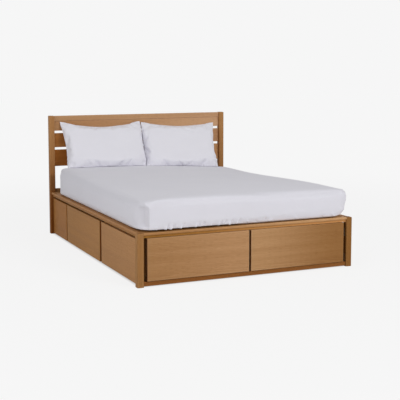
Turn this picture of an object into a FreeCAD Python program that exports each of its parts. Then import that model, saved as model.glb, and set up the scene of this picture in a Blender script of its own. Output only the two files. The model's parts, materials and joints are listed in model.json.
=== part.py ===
import FreeCAD, Part
import math
import os
import re

import Sketcher

Vector = FreeCAD.Vector

# Driving dimensions, in millimetres. Angles are in degrees.
SIZES = {
    # The bed as a whole: it takes a mattress of 1600 by 2000
    "bed_width": 1660,
    "bed_length": 2208,
    "headboard_height": 1024,
    "rail_height": 362,
    "floor_gap": 5,
    # Corner posts
    "post_width": 46,
    "post_depth": 50,
    "post_round": 7,
    # Cap rails and the narrower sub rails below them
    "cap_thickness": 16,
    "cap_width": 50,
    "cap_round": 5,
    "side_cap_inset": 9,
    "foot_cap_inset": 2,
    "sub_rail_height": 18,
    "sub_rail_thickness": 20,
    "sub_rail_setback": 12,
    "foot_rail_depth": 35,
    "bottom_rail_height": 29,
    # Side panels and drawer fronts
    "panel_thickness": 22,
    "panel_inset": 24,
    "panel_round": 4,
    "side_reveal": 18,
    "foot_reveal": 2,
    "foot_front_lift": 38,
    "foot_finger_gap": 24,
    "centre_gap": 15,
    "side_finger_gap": 42,
    "side_thin_gap": 20,
    "foot_panel_length": 784,
    "side_front_width": 860,
    "finger_overhang": 22,
    "head_overhang": 12,
    "finger_depth": 38,
    # Boards inside the bed
    "board_thickness": 18,
    "partition_setback": 60,
    "halving_clearance": 0.2,
    "divider_arch_height": 60,
    "divider_foot_length": 120,
    "ledge_width": 50,
    "ledge_thickness": 20,
    "batten_width": 40,
    "batten_margin": 90,
    "deck_slat_width": 90,
    "deck_slat_thickness": 20,
    "deck_slat_end_gap": 2,
    "deck_margin": 12,
    # Headboard
    "top_rail_height": 45,
    "top_rail_drop": 2,
    "top_rail_thickness": 26,
    "top_rail_inset": 18,
    "top_rail_round": 6,
    "head_slat_thickness": 18,
    "head_slat_inset": 25,
    "head_slat_round": 3.5,
    "head_slat_gap": 21,
    "upper_slat_height": 84,
    "middle_slat_height": 122,
    "lower_slat_height": 143,
    "lower_panel_top": 391,
    "tenon_length": 20,
    "tenon_thickness": 8,
    # Drawer boxes
    "foot_back_clearance": 139.3,
    "side_back_clearance": 85,
    "box_height": 200,
    "box_lift": 24,
    "box_board": 15,
    "box_bottom": 6,
    "bottom_lift": 12,
    "groove_depth": 6,
    # Ball-bearing drawer slides, each of three nested channels
    "slide_end_margin": 50,
    "slide_height": 45,
    "slide_space": 12.7,
    "slide_wall": 1.2,
    "slide_lip": 9,
    "slide_clearance": 0.4,
    "slide_setback": 2,
    # Steel plates across the joints of posts and side panels
    "plate_thickness": 3,
    "plate_height": 60,
    "plate_on_post": 24,
    "plate_on_panel": 56,
    "plate_margin": 30,
    # Mattress in its fitted sheet
    "mattress_side_inset": 29,
    "mattress_head_gap": 135,
    "mattress_height": 192,
    "mattress_setback": 12,
    "mattress_corner": 110,
    "mattress_shoulder": 40,
    "mattress_crown": 8,
    "sheet_thickness": 1.2,
    "soft_clearance": 0.3,
    # Pillows, which lean on the headboard
    "pillow_gap": 2,
    "pillow_side_gap": 41,
    "pillow_height": 436,
    "pillow_thickness": 160,
    "pillow_draw_in": 20,
    "pillow_corner": 26,
    "pillow_lean_angle": 20,
}

# Places and sizes that follow from the driving dimensions
DERIVED = {
    "foot_face": "-bed_length / 2",
    "foot_post_back": "foot_face + post_depth",
    "head_post_face": "bed_length / 2 - post_depth",
    "between_posts": "bed_width - 2 * post_width",
    "rail_length": "head_post_face - foot_post_back",
    "cap_bottom": "rail_height - cap_thickness",
    "sub_rail_bottom": "cap_bottom - sub_rail_height",
    "foot_rail_inset": "foot_cap_inset + sub_rail_setback",
    "side_top": "sub_rail_bottom - side_reveal",
    "side_height": "side_top - floor_gap",
    "foot_front_height": "sub_rail_bottom - foot_reveal - foot_front_lift",
    "foot_front_width": "bed_width / 2 - centre_gap / 2 - post_width - foot_finger_gap",
    "panel_back": "panel_inset + panel_thickness",
    "side_front_foot_edge": "foot_post_back + foot_panel_length + side_finger_gap",
    "side_front_head_edge": "side_front_foot_edge + side_front_width",
    "head_panel_start": "side_front_head_edge + side_thin_gap",
    "cross_foot_wall": "side_front_foot_edge + finger_overhang - slide_space",
    "cross_foot_face": "cross_foot_wall - board_thickness",
    "cross_head_wall": "side_front_head_edge - head_overhang + slide_space",
    "bay_wall": "post_width + foot_finger_gap + finger_overhang - slide_space",
    "bay_outer": "bay_wall - board_thickness",
    "foot_box_depth": "cross_foot_face - foot_face - panel_thickness - foot_back_clearance",
    "side_box_depth": "bed_width / 2 - panel_back - board_thickness / 2 - side_back_clearance",
    "foot_slide_start": "partition_setback + slide_setback",
    "side_slide_start": "panel_thickness + finger_depth + slide_setback",
    "ledge_top": "rail_height - deck_slat_thickness",
    "partition_top": "ledge_top - ledge_thickness",
    "ledge_inset": "side_cap_inset + sub_rail_setback + sub_rail_thickness",
    "deck_start": "foot_post_back + deck_margin",
    "deck_span": "rail_length - 2 * deck_margin - deck_slat_width",
    "top_rail_bottom": "headboard_height - top_rail_drop - top_rail_height",
    "upper_slat_bottom": "top_rail_bottom - upper_slat_height",
    "middle_slat_bottom": "upper_slat_bottom - head_slat_gap - middle_slat_height",
    "lower_slat_bottom": "middle_slat_bottom - head_slat_gap - lower_slat_height",
    "divider_start": "foot_face + foot_rail_inset + foot_rail_depth",
    "mattress_width": "bed_width - 2 * mattress_side_inset",
    "mattress_end": "bed_length / 2 - post_depth + head_slat_inset - mattress_head_gap",
    "mattress_length": "mattress_end - foot_face - mattress_setback",
    "mattress_base": "rail_height + soft_clearance",
    "mattress_top": "mattress_base + mattress_height + sheet_thickness",
    "mattress_middle": "foot_face + mattress_setback + mattress_length / 2",
    "pillow_width": "between_posts / 2 - pillow_side_gap - pillow_gap / 2",
    "pillow_offset": "pillow_gap / 2 + pillow_width / 2",
}

DECK_SLAT_COUNT = 14
# Fingers and sockets up a drawer's back corner, and how many are sockets in the side
FINGER_COUNT = 7
SIDE_SOCKET_COUNT = 3
# Where the two halves of a halving joint meet, as a share of the partition's top
HALVING_SHARE = 0.5
# The mattress from base to top: shares of its height, and of its shoulder that the side draws in
MATTRESS_SHARES = (
    (0.0, 0.55),
    (0.06, 0.2),
    (0.16, 0.04),
    (0.36, 0.0),
    (0.66, 0.02),
    (0.82, 0.15),
    (0.94, 0.46),
    (1.0, 1.0),
)
# The crown: shares of the crown's height, and of the mattress's half width that it draws in
CROWN_SHARES = ((1.0, 0.6),)
# A pillow from face to face: shares of its half thickness, and of its half height that it draws in
PILLOW_SHARES = (
    (-1.0, 0.74),
    (-0.93, 0.48),
    (-0.72, 0.24),
    (-0.38, 0.07),
    (0.0, 0.0),
    (0.38, 0.07),
    (0.72, 0.24),
    (0.93, 0.48),
    (1.0, 0.74),
)
# How far a quarter arc's middle stands in from its square corner, as a share of its radius
ARC_SHARE = 1 - 0.5**0.5
# Straight runs round a pillow's corner and along its drawn-in side
CORNER_STEPS = 4
SIDE_STEPS = 10
# Places closer than this are the same place
SAME_PLACE = 1e-4

doc = FreeCAD.newDocument("storage_bed")
sheet = doc.addObject("Spreadsheet::Sheet", "dims")
for row, (alias, size) in enumerate(SIZES.items(), 1):
    sheet.set(f"A{row}", alias)
    sheet.set(f"B{row}", str(size))
    sheet.setAlias(f"B{row}", alias)
doc.recompute()

subparts = []


def linked(text):
    """Turn the plain names in a formula into references to the sheet's cells."""

    def reference(match):
        word = match.group(0)
        if word in DERIVED:
            return "(" + linked(DERIVED[word]) + ")"
        return "dims." + word if word in SIZES else word

    return re.sub(r"[a-z][a-z_]*", reference, text)


def value(text):
    """The number that a formula gives at the sheet's present sizes."""
    return float(sheet.evalExpression(linked(text)))


def bind(item, **formulas):
    """Tie an object's properties to formulas."""
    for name, text in formulas.items():
        item.setExpression(name, linked(text))


def place(item, at, turn=0):
    """Set an object down with its own origin at three formulas, turned about the vertical."""
    item.Placement = FreeCAD.Placement(Vector(), FreeCAD.Rotation(Vector(0, 0, 1), turn))
    for axis, text in zip("xyz", at):
        item.setExpression("Placement.Base." + axis, linked(text))


def keep(item, label):
    """List an object as a sub-part under its own name."""
    item.Label = label
    subparts.append(item)
    return item


def datum(body, role):
    """One of a body's own origin planes or axes."""
    return next(item for item in body.Origin.OriginFeatures if item.Role == role)


def outline(body, role, points):
    """A closed sketch of straight lines whose corners stand at pairs of formulas."""
    sketch = body.newObject("Sketcher::SketchObject", "Outline")
    sketch.AttachmentSupport = (datum(body, role), [""])
    sketch.MapMode = "FlatFace"
    corners = [Vector(value(across), value(up), 0) for across, up in points]
    count = len(corners)
    for index, corner in enumerate(corners):
        sketch.addGeometry(Part.LineSegment(corner, corners[(index + 1) % count]), False)
    for index in range(count):
        sketch.addConstraint(Sketcher.Constraint("Coincident", index, 2, (index + 1) % count, 1))
    for index, formulas in enumerate(points):
        for kind, axis, text in zip(("DistanceX", "DistanceY"), (-2, -1), formulas):
            if text == "0":
                sketch.addConstraint(Sketcher.Constraint("PointOnObject", index, 1, axis))
                continue
            number = sketch.addConstraint(Sketcher.Constraint(kind, -1, 1, index, 1, value(text)))
            sketch.setExpression(f"Constraints[{number}]", linked(text))
    return sketch


def padded(body, sketch, length, back=False):
    """Pad a sketch by a formula's length."""
    pad = body.newObject("PartDesign::Pad", "Pad")
    pad.Profile = sketch
    pad.Reversed = back
    bind(pad, Length=length)
    sketch.recompute()
    pad.recompute()
    return pad


def rounded(body, radius, choose):
    """Round the edges of a body that a test picks out."""
    base = body.Tip
    edges = enumerate(base.Shape.Edges, 1)
    names = [f"Edge{number}" for number, edge in edges if choose(edge.BoundBox)]
    fillet = body.newObject("PartDesign::Fillet", "Round")
    fillet.Base = (base, names)
    bind(fillet, Radius=radius)
    fillet.recompute()


def cut_box(body, size, at):
    """Cut a box, such as a mortise or a groove, out of a body."""
    before = body.Tip.Shape.Volume
    cut = body.newObject("PartDesign::SubtractiveBox", "Cut")
    bind(cut, Length=size[0], Width=size[1], Height=size[2])
    place(cut, at)
    cut.recompute()
    if cut.Shape.Volume >= before:
        raise RuntimeError(f"a cut in {body.Label} takes nothing away")
    return cut


def repeat_up(body, feature, span, count):
    """Repeat a cut up a body's own height."""
    pattern = body.newObject("PartDesign::LinearPattern", "Row")
    pattern.Originals = [feature]
    pattern.Direction = (datum(body, "Z_Axis"), [""])
    pattern.Occurrences = count
    bind(pattern, Length=span)
    body.Tip = pattern
    pattern.recompute()


def board(label, size, at, along, turn=0):
    """A straight board: its section sketched square to its length, then padded along it."""
    body = doc.addObject("PartDesign::Body", label)
    body.Label = label
    role, section, length = {
        "x": ("YZ_Plane", (size[1], size[2]), size[0]),
        "y": ("XZ_Plane", (size[0], size[2]), size[1]),
        "z": ("XY_Plane", (size[0], size[1]), size[2]),
    }[along]
    across, up = section
    sketch = outline(body, role, (("0", "0"), (across, "0"), (across, up), ("0", up)))
    padded(body, sketch, length, back=along == "y")
    place(body, at, turn)
    return body


def joined(label, pieces):
    """Several like pieces as one sub-part of separate solids."""
    group = doc.addObject("Part::Compound", label)
    group.Links = pieces
    return keep(group, label)


def near(first, second):
    """Whether two places are the same to a working tolerance."""
    return abs(first - second) < SAME_PLACE


def long_edges(length, axis):
    """A test for edges that run a formula's length along an axis."""
    span = value(length)
    name = axis.upper() + "Length"
    return lambda box: near(getattr(box, name), span) and near(box.DiagonalLength, span)


def face_edges(axis, at):
    """A test for edges that lie in the plane where an axis has a formula's value."""
    level = value(at)
    low, high = axis.upper() + "Min", axis.upper() + "Max"
    return lambda box: near(getattr(box, low), level) and near(getattr(box, high), level)


def both(first, second):
    """A test for edges that pass two tests."""
    return lambda box: first(box) and second(box)


def from_side(side, inset, width):
    """Where a piece's lower X face stands, from its inset and width at one side of the bed."""
    if side == "left":
        return f"-bed_width / 2 + {inset}"
    return f"bed_width / 2 - ({inset}) - ({width})"


# Posts


def post(label, side, face, height, mortises):
    """A corner post with rounded edges and top, and mortises in its inner face."""
    at = (from_side(side, "0", "post_width"), face, "0")
    body = board(label, ("post_width", "post_depth", height), at, "z")
    rounded(body, "post_round", long_edges(height, "z"))
    rounded(body, "post_round", face_edges("z", height))
    inner = "post_width - tenon_length" if side == "left" else "0"
    for bottom, tall, section in mortises:
        front = f"{section}_inset + ({section}_thickness - tenon_thickness) / 2"
        cut_box(body, ("tenon_length", "tenon_thickness", tall), (inner, front, bottom))
    keep(body, label)


def tenoned(label, bottom, tall, section):
    """A rail or slat between the head posts, with a tenon on each end."""
    body = doc.addObject("PartDesign::Body", label)
    body.Label = label
    thick = f"{section}_thickness"
    shoulder = f"({thick} - tenon_thickness) / 2"
    inner, outer = "tenon_length", "tenon_length + between_posts"
    end = "2 * tenon_length + between_posts"
    cheek = f"{shoulder} + tenon_thickness"
    points = (
        (inner, "0"),
        (outer, "0"),
        (outer, shoulder),
        (end, shoulder),
        (end, cheek),
        (outer, cheek),
        (outer, thick),
        (inner, thick),
        (inner, cheek),
        ("0", cheek),
        ("0", shoulder),
        (inner, shoulder),
    )
    padded(body, outline(body, "XY_Plane", points), tall)
    rounded(body, f"{section}_round", long_edges("between_posts", "x"))
    left_end = "-bed_width / 2 + post_width - tenon_length"
    place(body, (left_end, f"head_post_face + {section}_inset", bottom))
    keep(body, label)


# Each piece between the head posts: its bottom, its height and the section it is sawn to
HEADBOARD = (
    ("headboard_top_rail", "top_rail_bottom", "top_rail_height", "top_rail"),
    ("headboard_upper_slat", "upper_slat_bottom", "upper_slat_height", "head_slat"),
    ("headboard_middle_slat", "middle_slat_bottom", "middle_slat_height", "head_slat"),
    ("headboard_lower_slat", "lower_slat_bottom", "lower_slat_height", "head_slat"),
    ("headboard_lower_panel", "floor_gap", "lower_panel_top - floor_gap", "head_slat"),
)
HEAD_MORTISES = [row[1:] for row in HEADBOARD]

for side in ("left", "right"):
    post(f"head_post_{side}", side, "head_post_face", "headboard_height", HEAD_MORTISES)
    post(f"foot_post_{side}", side, "foot_face", "rail_height", ())

for row in HEADBOARD:
    tenoned(*row)

# Foot end rails

inner_corner = "-bed_width / 2 + post_width"
cap = board(
    "foot_cap_rail",
    ("between_posts", "post_depth - foot_cap_inset", "cap_thickness"),
    (inner_corner, "foot_face + foot_cap_inset", "cap_bottom"),
    "x",
)
rounded(cap, "cap_round", both(face_edges("y", "0"), long_edges("between_posts", "x")))
keep(cap, "foot_cap_rail")

for label, bottom, tall in (
    ("foot_sub_rail", "sub_rail_bottom", "sub_rail_height"),
    ("foot_bottom_rail", "floor_gap", "bottom_rail_height"),
):
    size = ("between_posts", "foot_rail_depth", tall)
    keep(board(label, size, (inner_corner, "foot_face + foot_rail_inset", bottom), "x"), label)

# Side rails, panels and ledges

for side in ("left", "right"):
    size = ("cap_width", "rail_length", "cap_thickness")
    at = (from_side(side, "side_cap_inset", "cap_width"), "foot_post_back", "cap_bottom")
    cap = board(f"side_cap_rail_{side}", size, at, "y")
    outer = "0" if side == "left" else "cap_width"
    rounded(cap, "cap_round", both(face_edges("x", outer), long_edges("rail_length", "y")))
    keep(cap, f"side_cap_rail_{side}")

    inset = "side_cap_inset + sub_rail_setback"
    size = ("sub_rail_thickness", "rail_length", "sub_rail_height")
    at = (from_side(side, inset, "sub_rail_thickness"), "foot_post_back", "sub_rail_bottom")
    keep(board(f"side_sub_rail_{side}", size, at, "y"), f"side_sub_rail_{side}")

    size = ("ledge_width", "rail_length", "ledge_thickness")
    at = (from_side(side, "ledge_inset", "ledge_width"), "foot_post_back", "partition_top")
    keep(board(f"slat_ledge_{side}", size, at, "y"), f"slat_ledge_{side}")

    face = "0" if side == "left" else "panel_thickness"
    for name, start, length in (
        ("foot", "foot_post_back", "foot_panel_length"),
        ("head", "head_panel_start", "head_post_face - (head_panel_start)"),
    ):
        label = f"side_{name}_panel_{side}"
        size = ("panel_thickness", length, "side_height")
        at = (from_side(side, "panel_inset", "panel_thickness"), start, "floor_gap")
        panel = board(label, size, at, "y")
        rounded(panel, "panel_round", face_edges("x", face))
        keep(panel, label)

# Boards inside

divider = board(
    "centre_divider",
    ("board_thickness", "head_post_face - (divider_start)", "ledge_top"),
    ("-board_thickness / 2", "divider_start", "0"),
    "y",
)
slot_width = "board_thickness + halving_clearance"
slot_bottom = f"partition_top * {HALVING_SHARE}"
for face in ("cross_foot_face", "cross_head_wall"):
    at = ("0", f"{face} - halving_clearance / 2 - divider_start", slot_bottom)
    cut_box(divider, ("board_thickness", slot_width, f"ledge_top - {slot_bottom}"), at)
# An arch under each of the two bays leaves the divider standing on feet
for start, end in (
    ("0", "cross_foot_face - divider_start"),
    ("cross_foot_wall - divider_start", "cross_head_wall - divider_start"),
):
    size = ("board_thickness", f"{end} - ({start}) - 2 * divider_foot_length", "divider_arch_height")
    cut_box(divider, size, ("0", f"{start} + divider_foot_length", "0"))
keep(divider, "centre_divider")

for name, face, end_inset in (
    ("foot", "cross_foot_face", "panel_back + finger_depth"),
    ("head", "cross_head_wall", "panel_back"),
):
    label = f"cross_partition_{name}"
    length = f"bed_width - 2 * ({end_inset})"
    at = (f"-bed_width / 2 + {end_inset}", face, "floor_gap")
    partition = board(label, (length, "board_thickness", "partition_top - floor_gap"), at, "x")
    middle = f"({length}) / 2 - ({slot_width}) / 2"
    cut_box(partition, (slot_width, "board_thickness", f"{slot_bottom} - floor_gap"), (middle, "0", "0"))
    keep(partition, label)

battens = []
for side in ("left", "right"):
    label = f"bay_partition_{side}"
    start = "foot_face + partition_setback"
    size = ("board_thickness", f"cross_foot_face - ({start})", "partition_top - floor_gap")
    at = (from_side(side, "bay_outer", "board_thickness"), start, "floor_gap")
    keep(board(label, size, at, "y"), label)

    thick = "bay_outer - (panel_back)"
    for end in (
        "foot_post_back + batten_margin",
        "foot_post_back + foot_panel_length - batten_margin - batten_width",
    ):
        at = (from_side(side, "panel_back", thick), end, "floor_gap")
        battens.append(board(f"batten_{side}", (thick, "batten_width", "side_height"), at, "z"))
joined("panel_battens", battens)

deck = []
inset = "side_cap_inset + cap_width + deck_slat_end_gap"
length = f"bed_width - 2 * ({inset})"
for number in range(DECK_SLAT_COUNT):
    slat = doc.addObject("Part::Box", "deck_slat")
    bind(slat, Length=length, Width="deck_slat_width", Height="deck_slat_thickness")
    along = f"deck_start + deck_span * {number} / {DECK_SLAT_COUNT - 1}"
    place(slat, (f"-bed_width / 2 + {inset}", along, "ledge_top"))
    deck.append(slat)
joined("deck_slats", deck)

plates = []
for side in ("left", "right"):
    for start in ("foot_post_back - plate_on_post", "head_post_face - plate_on_panel"):
        for bottom in ("floor_gap + plate_margin", "side_top - plate_margin - plate_height"):
            size = ("plate_thickness", "plate_on_post + plate_on_panel", "plate_height")
            at = (from_side(side, "panel_back", "plate_thickness"), start, bottom)
            plates.append(board(f"plate_{side}", size, at, "z"))
joined("joint_plates", plates)

# Drawers, each in a frame of its own: X across the front, Y into the bed, Z up


class DrawerPlace:
    """Where one drawer's own frame stands, how it is turned, and its front, box and slides."""

    def __init__(self, name, origin, turn, front, box, depths):
        self.name = name
        self.origin = origin
        self.turn = turn
        self.width, self.height = front
        self.left, self.right = box
        self.depth, self.slide_start = depths

    def at(self, across, deep, up):
        """Formulas for a point of the drawer's frame, in the bed's frame."""
        x, y, z = self.origin
        moved = {
            0: (f"{x} + ({across})", f"{y} + ({deep})"),
            -90: (f"{x} + ({deep})", f"{y} - ({across})"),
            90: (f"{x} - ({deep})", f"{y} + ({across})"),
        }[self.turn]
        return (*moved, f"{z} + ({up})")

    def board(self, label, size, at, along):
        """A board of this drawer."""
        return board(label, size, self.at(*at), along, self.turn)


finger_tall = f"box_height / {FINGER_COUNT}"
# What is left of a board behind its groove
groove_wall = "box_board - groove_depth"


def drawer_front(drawer):
    """The front, housed for the sides and grooved for the bottom."""
    label = f"{drawer.name}_front"
    front = drawer.board(label, (drawer.width, "panel_thickness", drawer.height), ("0", "0", "0"), "x")
    rounded(front, "panel_round", face_edges("y", "0"))
    housing = "panel_thickness - groove_depth"
    for across in (drawer.left, f"{drawer.right} - box_board"):
        cut_box(front, ("box_board", "groove_depth", "box_height"), (across, housing, "box_lift"))
    across = f"{drawer.left} + box_board"
    width = f"{drawer.right} - ({drawer.left}) - 2 * box_board"
    cut_box(front, (width, "groove_depth", "box_bottom"), (across, housing, "box_lift + bottom_lift"))
    keep(front, label)


def drawer_sides(drawer):
    """The two sides, finger-jointed at the back and grooved for the bottom."""
    sides = []
    start = "panel_thickness - groove_depth"
    length = f"{drawer.depth} + groove_depth"
    for across, groove in ((drawer.left, groove_wall), (f"{drawer.right} - box_board", "0")):
        size = ("box_board", length, "box_height")
        body = drawer.board(f"{drawer.name}_side", size, (across, start, "box_lift"), "y")
        cut_box(body, ("groove_depth", length, "box_bottom"), (groove, "0", "bottom_lift"))
        at = ("0", f"{length} - box_board", finger_tall)
        socket = cut_box(body, ("box_board", "box_board", finger_tall), at)
        repeat_up(body, socket, f"({finger_tall}) * {2 * SIDE_SOCKET_COUNT - 2}", SIDE_SOCKET_COUNT)
        sides.append(body)
    joined(f"{drawer.name}_sides", sides)


def drawer_back(drawer):
    """The back, whose fingers fill the sockets of the sides."""
    label = f"{drawer.name}_back"
    width = f"{drawer.right} - ({drawer.left})"
    at = (drawer.left, f"panel_thickness + {drawer.depth} - box_board", "box_lift")
    back = drawer.board(label, (width, "box_board", "box_height"), at, "x")
    for across in ("0", f"{width} - box_board"):
        socket = cut_box(back, ("box_board", "box_board", finger_tall), (across, "0", "0"))
        repeat_up(back, socket, f"({finger_tall}) * {2 * SIDE_SOCKET_COUNT}", SIDE_SOCKET_COUNT + 1)
    inner = f"{width} - 2 * box_board"
    cut_box(back, (inner, "groove_depth", "box_bottom"), ("box_board", "0", "bottom_lift"))
    keep(back, label)


def drawer_bottom(drawer):
    """The bottom, which slides into the grooves of the other four boards."""
    label = f"{drawer.name}_bottom"
    width = f"{drawer.right} - ({drawer.left}) - 2 * ({groove_wall})"
    depth = f"{drawer.depth} - box_board + 2 * groove_depth"
    body = doc.addObject("PartDesign::Body", label)
    body.Label = label
    corners = (
        ("0", "groove_depth"),
        ("groove_depth", "groove_depth"),
        ("groove_depth", "0"),
        (f"{width} - groove_depth", "0"),
        (f"{width} - groove_depth", "groove_depth"),
        (width, "groove_depth"),
        (width, f"{depth} - groove_depth"),
        (f"{width} - groove_depth", f"{depth} - groove_depth"),
        (f"{width} - groove_depth", depth),
        ("groove_depth", depth),
        ("groove_depth", f"{depth} - groove_depth"),
        ("0", f"{depth} - groove_depth"),
    )
    padded(body, outline(body, "XY_Plane", corners), "box_bottom")
    across = f"{drawer.left} + {groove_wall}"
    at = drawer.at(across, "panel_thickness - groove_depth", "box_lift + bottom_lift")
    place(body, at, drawer.turn)
    keep(body, label)


def channel(web, tip, low, high):
    """Corners of a channel's section, from its web's outer face to the tips of its lips."""
    sign = "-" if value(tip) < value(web) else "+"
    inside = f"{web} {sign} slide_wall"
    return (
        (web, low),
        (tip, low),
        (tip, f"{low} + slide_wall"),
        (inside, f"{low} + slide_wall"),
        (inside, f"{high} - slide_wall"),
        (tip, f"{high} - slide_wall"),
        (tip, high),
        (web, high),
    )


# Each channel of a slide: its web, the tips of its lips, and how far its edges stand in.
# The depths are measured from the wall that the slide is screwed to.
step_in = "slide_wall + slide_clearance"
SLIDE_CHANNELS = {
    "outer": ("0", "slide_lip", "0"),
    "middle": (step_in, f"slide_space - {step_in}", step_in),
    "inner": ("slide_space", f"2 * ({step_in})", f"2 * ({step_in})"),
}


def plain_zeros(points):
    """Write a formula whose value is zero as a plain zero."""
    return [tuple("0" if near(value(text), 0) else text for text in pair) for pair in points]


def slide_channels(drawer, kind):
    """One channel of the slides at both sides of a drawer."""
    web, tip, edge = SLIDE_CHANNELS[kind]
    length = f"panel_thickness + {drawer.depth} - {drawer.slide_start} - slide_end_margin"
    pieces = []
    for mirrored in (False, True):
        body = doc.addObject("PartDesign::Body", f"{drawer.name}_{kind}_channel")
        depths = (web, tip)
        if mirrored:
            depths = (f"slide_space - ({web})", f"slide_space - ({tip})")
        points = channel(*depths, edge, f"slide_height - ({edge})")
        padded(body, outline(body, "XZ_Plane", plain_zeros(points)), length, back=True)
        across = drawer.right if mirrored else f"{drawer.left} - slide_space"
        up = "box_lift + box_height / 2 - slide_height / 2"
        place(body, drawer.at(across, drawer.slide_start, up), drawer.turn)
        pieces.append(body)
    return pieces


foot_box = ("finger_overhang", "foot_front_width - (board_thickness - centre_gap) / 2 - slide_space")
foot_box_mirrored = (f"foot_front_width - ({foot_box[1]})", "foot_front_width - finger_overhang")
side_box = ("head_overhang", "side_front_width - finger_overhang")
side_box_mirrored = ("finger_overhang", "side_front_width - head_overhang")
foot_front = ("foot_front_width", "foot_front_height")
side_front = ("side_front_width", "side_height")
foot_depths = ("foot_box_depth", "foot_slide_start")
side_depths = ("side_box_depth", "side_slide_start")
DRAWERS = (
    DrawerPlace(
        "foot_drawer_left",
        ("-bed_width / 2 + post_width + foot_finger_gap", "foot_face", "foot_front_lift"),
        0,
        foot_front,
        foot_box,
        foot_depths,
    ),
    DrawerPlace(
        "foot_drawer_right",
        ("centre_gap / 2", "foot_face", "foot_front_lift"),
        0,
        foot_front,
        foot_box_mirrored,
        foot_depths,
    ),
    DrawerPlace(
        "side_drawer_left",
        ("-bed_width / 2 + panel_inset", "side_front_head_edge", "floor_gap"),
        -90,
        side_front,
        side_box,
        side_depths,
    ),
    DrawerPlace(
        "side_drawer_right",
        ("bed_width / 2 - panel_inset", "side_front_foot_edge", "floor_gap"),
        90,
        side_front,
        side_box_mirrored,
        side_depths,
    ),
)

outer_channels = []
for drawer in DRAWERS:
    drawer_front(drawer)
    drawer_sides(drawer)
    drawer_back(drawer)
    drawer_bottom(drawer)
    joined(f"{drawer.name}_slide_inner", slide_channels(drawer, "inner"))
    joined(f"{drawer.name}_slide_middle", slide_channels(drawer, "middle"))
    outer_channels.extend(slide_channels(drawer, "outer"))
joined("slide_outer_channels", outer_channels)

# Soft pieces, whose outlines go round these four corners in turn
CORNERS = ((1, 1), (-1, 1), (-1, -1), (1, -1))


def rounded_rectangle(half_width, half_length, corner, level):
    """A level outline of four lines and four quarter arcs."""
    bend = corner * ARC_SHARE
    edges = []
    last = None
    for across, along in CORNERS:
        x, y = across * half_width, along * half_length
        ends = [Vector(x, y - along * corner, level), Vector(x - across * corner, y, level)]
        if across != along:
            ends.reverse()
        middle = Vector(x - across * bend, y - along * bend, level)
        if last is not None:
            edges.append(Part.makeLine(last, ends[0]))
        edges.append(Part.Arc(ends[0], middle, ends[1]).toShape())
        last = ends[1]
    edges.append(Part.makeLine(last, edges[0].Vertexes[0].Point))
    return Part.Wire(edges)


def mattress_faces(grow):
    """The mattress's rim below, and the faces of its sides and crown, grown outwards."""
    half_width = value("mattress_width") / 2 + grow
    half_length = value("mattress_length") / 2 + grow
    corner = value("mattress_corner")
    shoulder = value("mattress_shoulder")
    crown = value("mattress_crown")
    low = value("mattress_base")
    edge_level = low + value("mattress_height") + grow - crown

    def section(inset, level):
        return rounded_rectangle(half_width - inset, half_length - inset, corner, level)

    sides = []
    for height, draw in MATTRESS_SHARES:
        sides.append(section(draw * shoulder, low + height * (edge_level - low)))
    crowning = []
    for height, draw in CROWN_SHARES:
        crowning.append(section(shoulder + draw * (half_width - shoulder), edge_level + height * crown))
    faces = Part.makeLoft(sides + crowning, False, True).Faces
    faces.append(Part.Face(crowning[-1]))
    return sides[0], faces


def closed(faces):
    """One solid from faces that meet edge to edge."""
    skin = Part.Shell(faces)
    skin.sewShape()
    solid = Part.Solid(skin)
    if solid.Volume < 0:
        solid.reverse()
    return solid


def mattress_form(grow):
    """The mattress: a crowned block with full sides."""
    rim, faces = mattress_faces(grow)
    return closed(faces + [Part.Face(rim)])


def sheet_form(thickness):
    """The fitted sheet: a skin over the mattress's sides and top, open below."""
    outer_rim, outer = mattress_faces(thickness)
    inner_rim, inner = mattress_faces(0)
    hem = Part.makeFace([outer_rim, inner_rim], "Part::FaceMakerBullseye")
    return closed(outer + inner + [hem])


def pillow_outline(half_width, half_height, draw_in, corner, depth):
    """Points of an upright outline with drawn-in sides and rounded corners, at a depth."""
    points = []
    for across, up in CORNERS:
        x, z = across * (half_width - corner), up * (half_height - corner)
        turn = []
        for step in range(CORNER_STEPS + 1):
            angle = math.radians(90 * step / CORNER_STEPS)
            right, high = corner * math.cos(angle), corner * math.sin(angle)
            turn.append(Vector(x + across * right, depth, z + up * high))
        if across != up:
            turn.reverse()
        if points:
            points += drawn_in(points[-1], turn[0], draw_in)
        points += turn
    return points + drawn_in(points[-1], points[0], draw_in)


def drawn_in(start, end, draw_in):
    """Points of a pillow's side that bows in towards the pillow's middle."""
    inward = (end - start).cross(Vector(0, 1, 0))
    inward.normalize()
    if inward.dot(start) > 0:
        inward.multiply(-1)
    points = []
    for step in range(1, SIDE_STEPS):
        share = step / SIDE_STEPS
        bow = draw_in * math.sin(math.pi * share)
        points.append(start + (end - start) * share + inward * bow)
    return points


def flat_face(*points):
    """A plane face with its corners at the points."""
    return Part.Face(Part.makePolygon([*points, points[0]]))


def pillow_form():
    """A pillow upright about its own middle, of narrow facets from outline to outline."""
    half_width = value("pillow_width") / 2
    half_height = value("pillow_height") / 2
    half_thickness = value("pillow_thickness") / 2
    outlines = []
    for depth, draw in PILLOW_SHARES:
        inset = draw * half_height
        outlines.append(
            pillow_outline(
                half_width - inset,
                half_height - inset,
                value("pillow_draw_in") * (1 - draw),
                value("pillow_corner"),
                depth * half_thickness,
            )
        )
    faces = [flat_face(*outlines[0]), flat_face(*outlines[-1])]
    for near_ring, far_ring in zip(outlines, outlines[1:]):
        for index, start in enumerate(near_ring):
            beside = near_ring[index - 1]
            faces.append(flat_face(start, beside, far_ring[index]))
            faces.append(flat_face(beside, far_ring[index - 1], far_ring[index]))
    return closed(faces)


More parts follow.
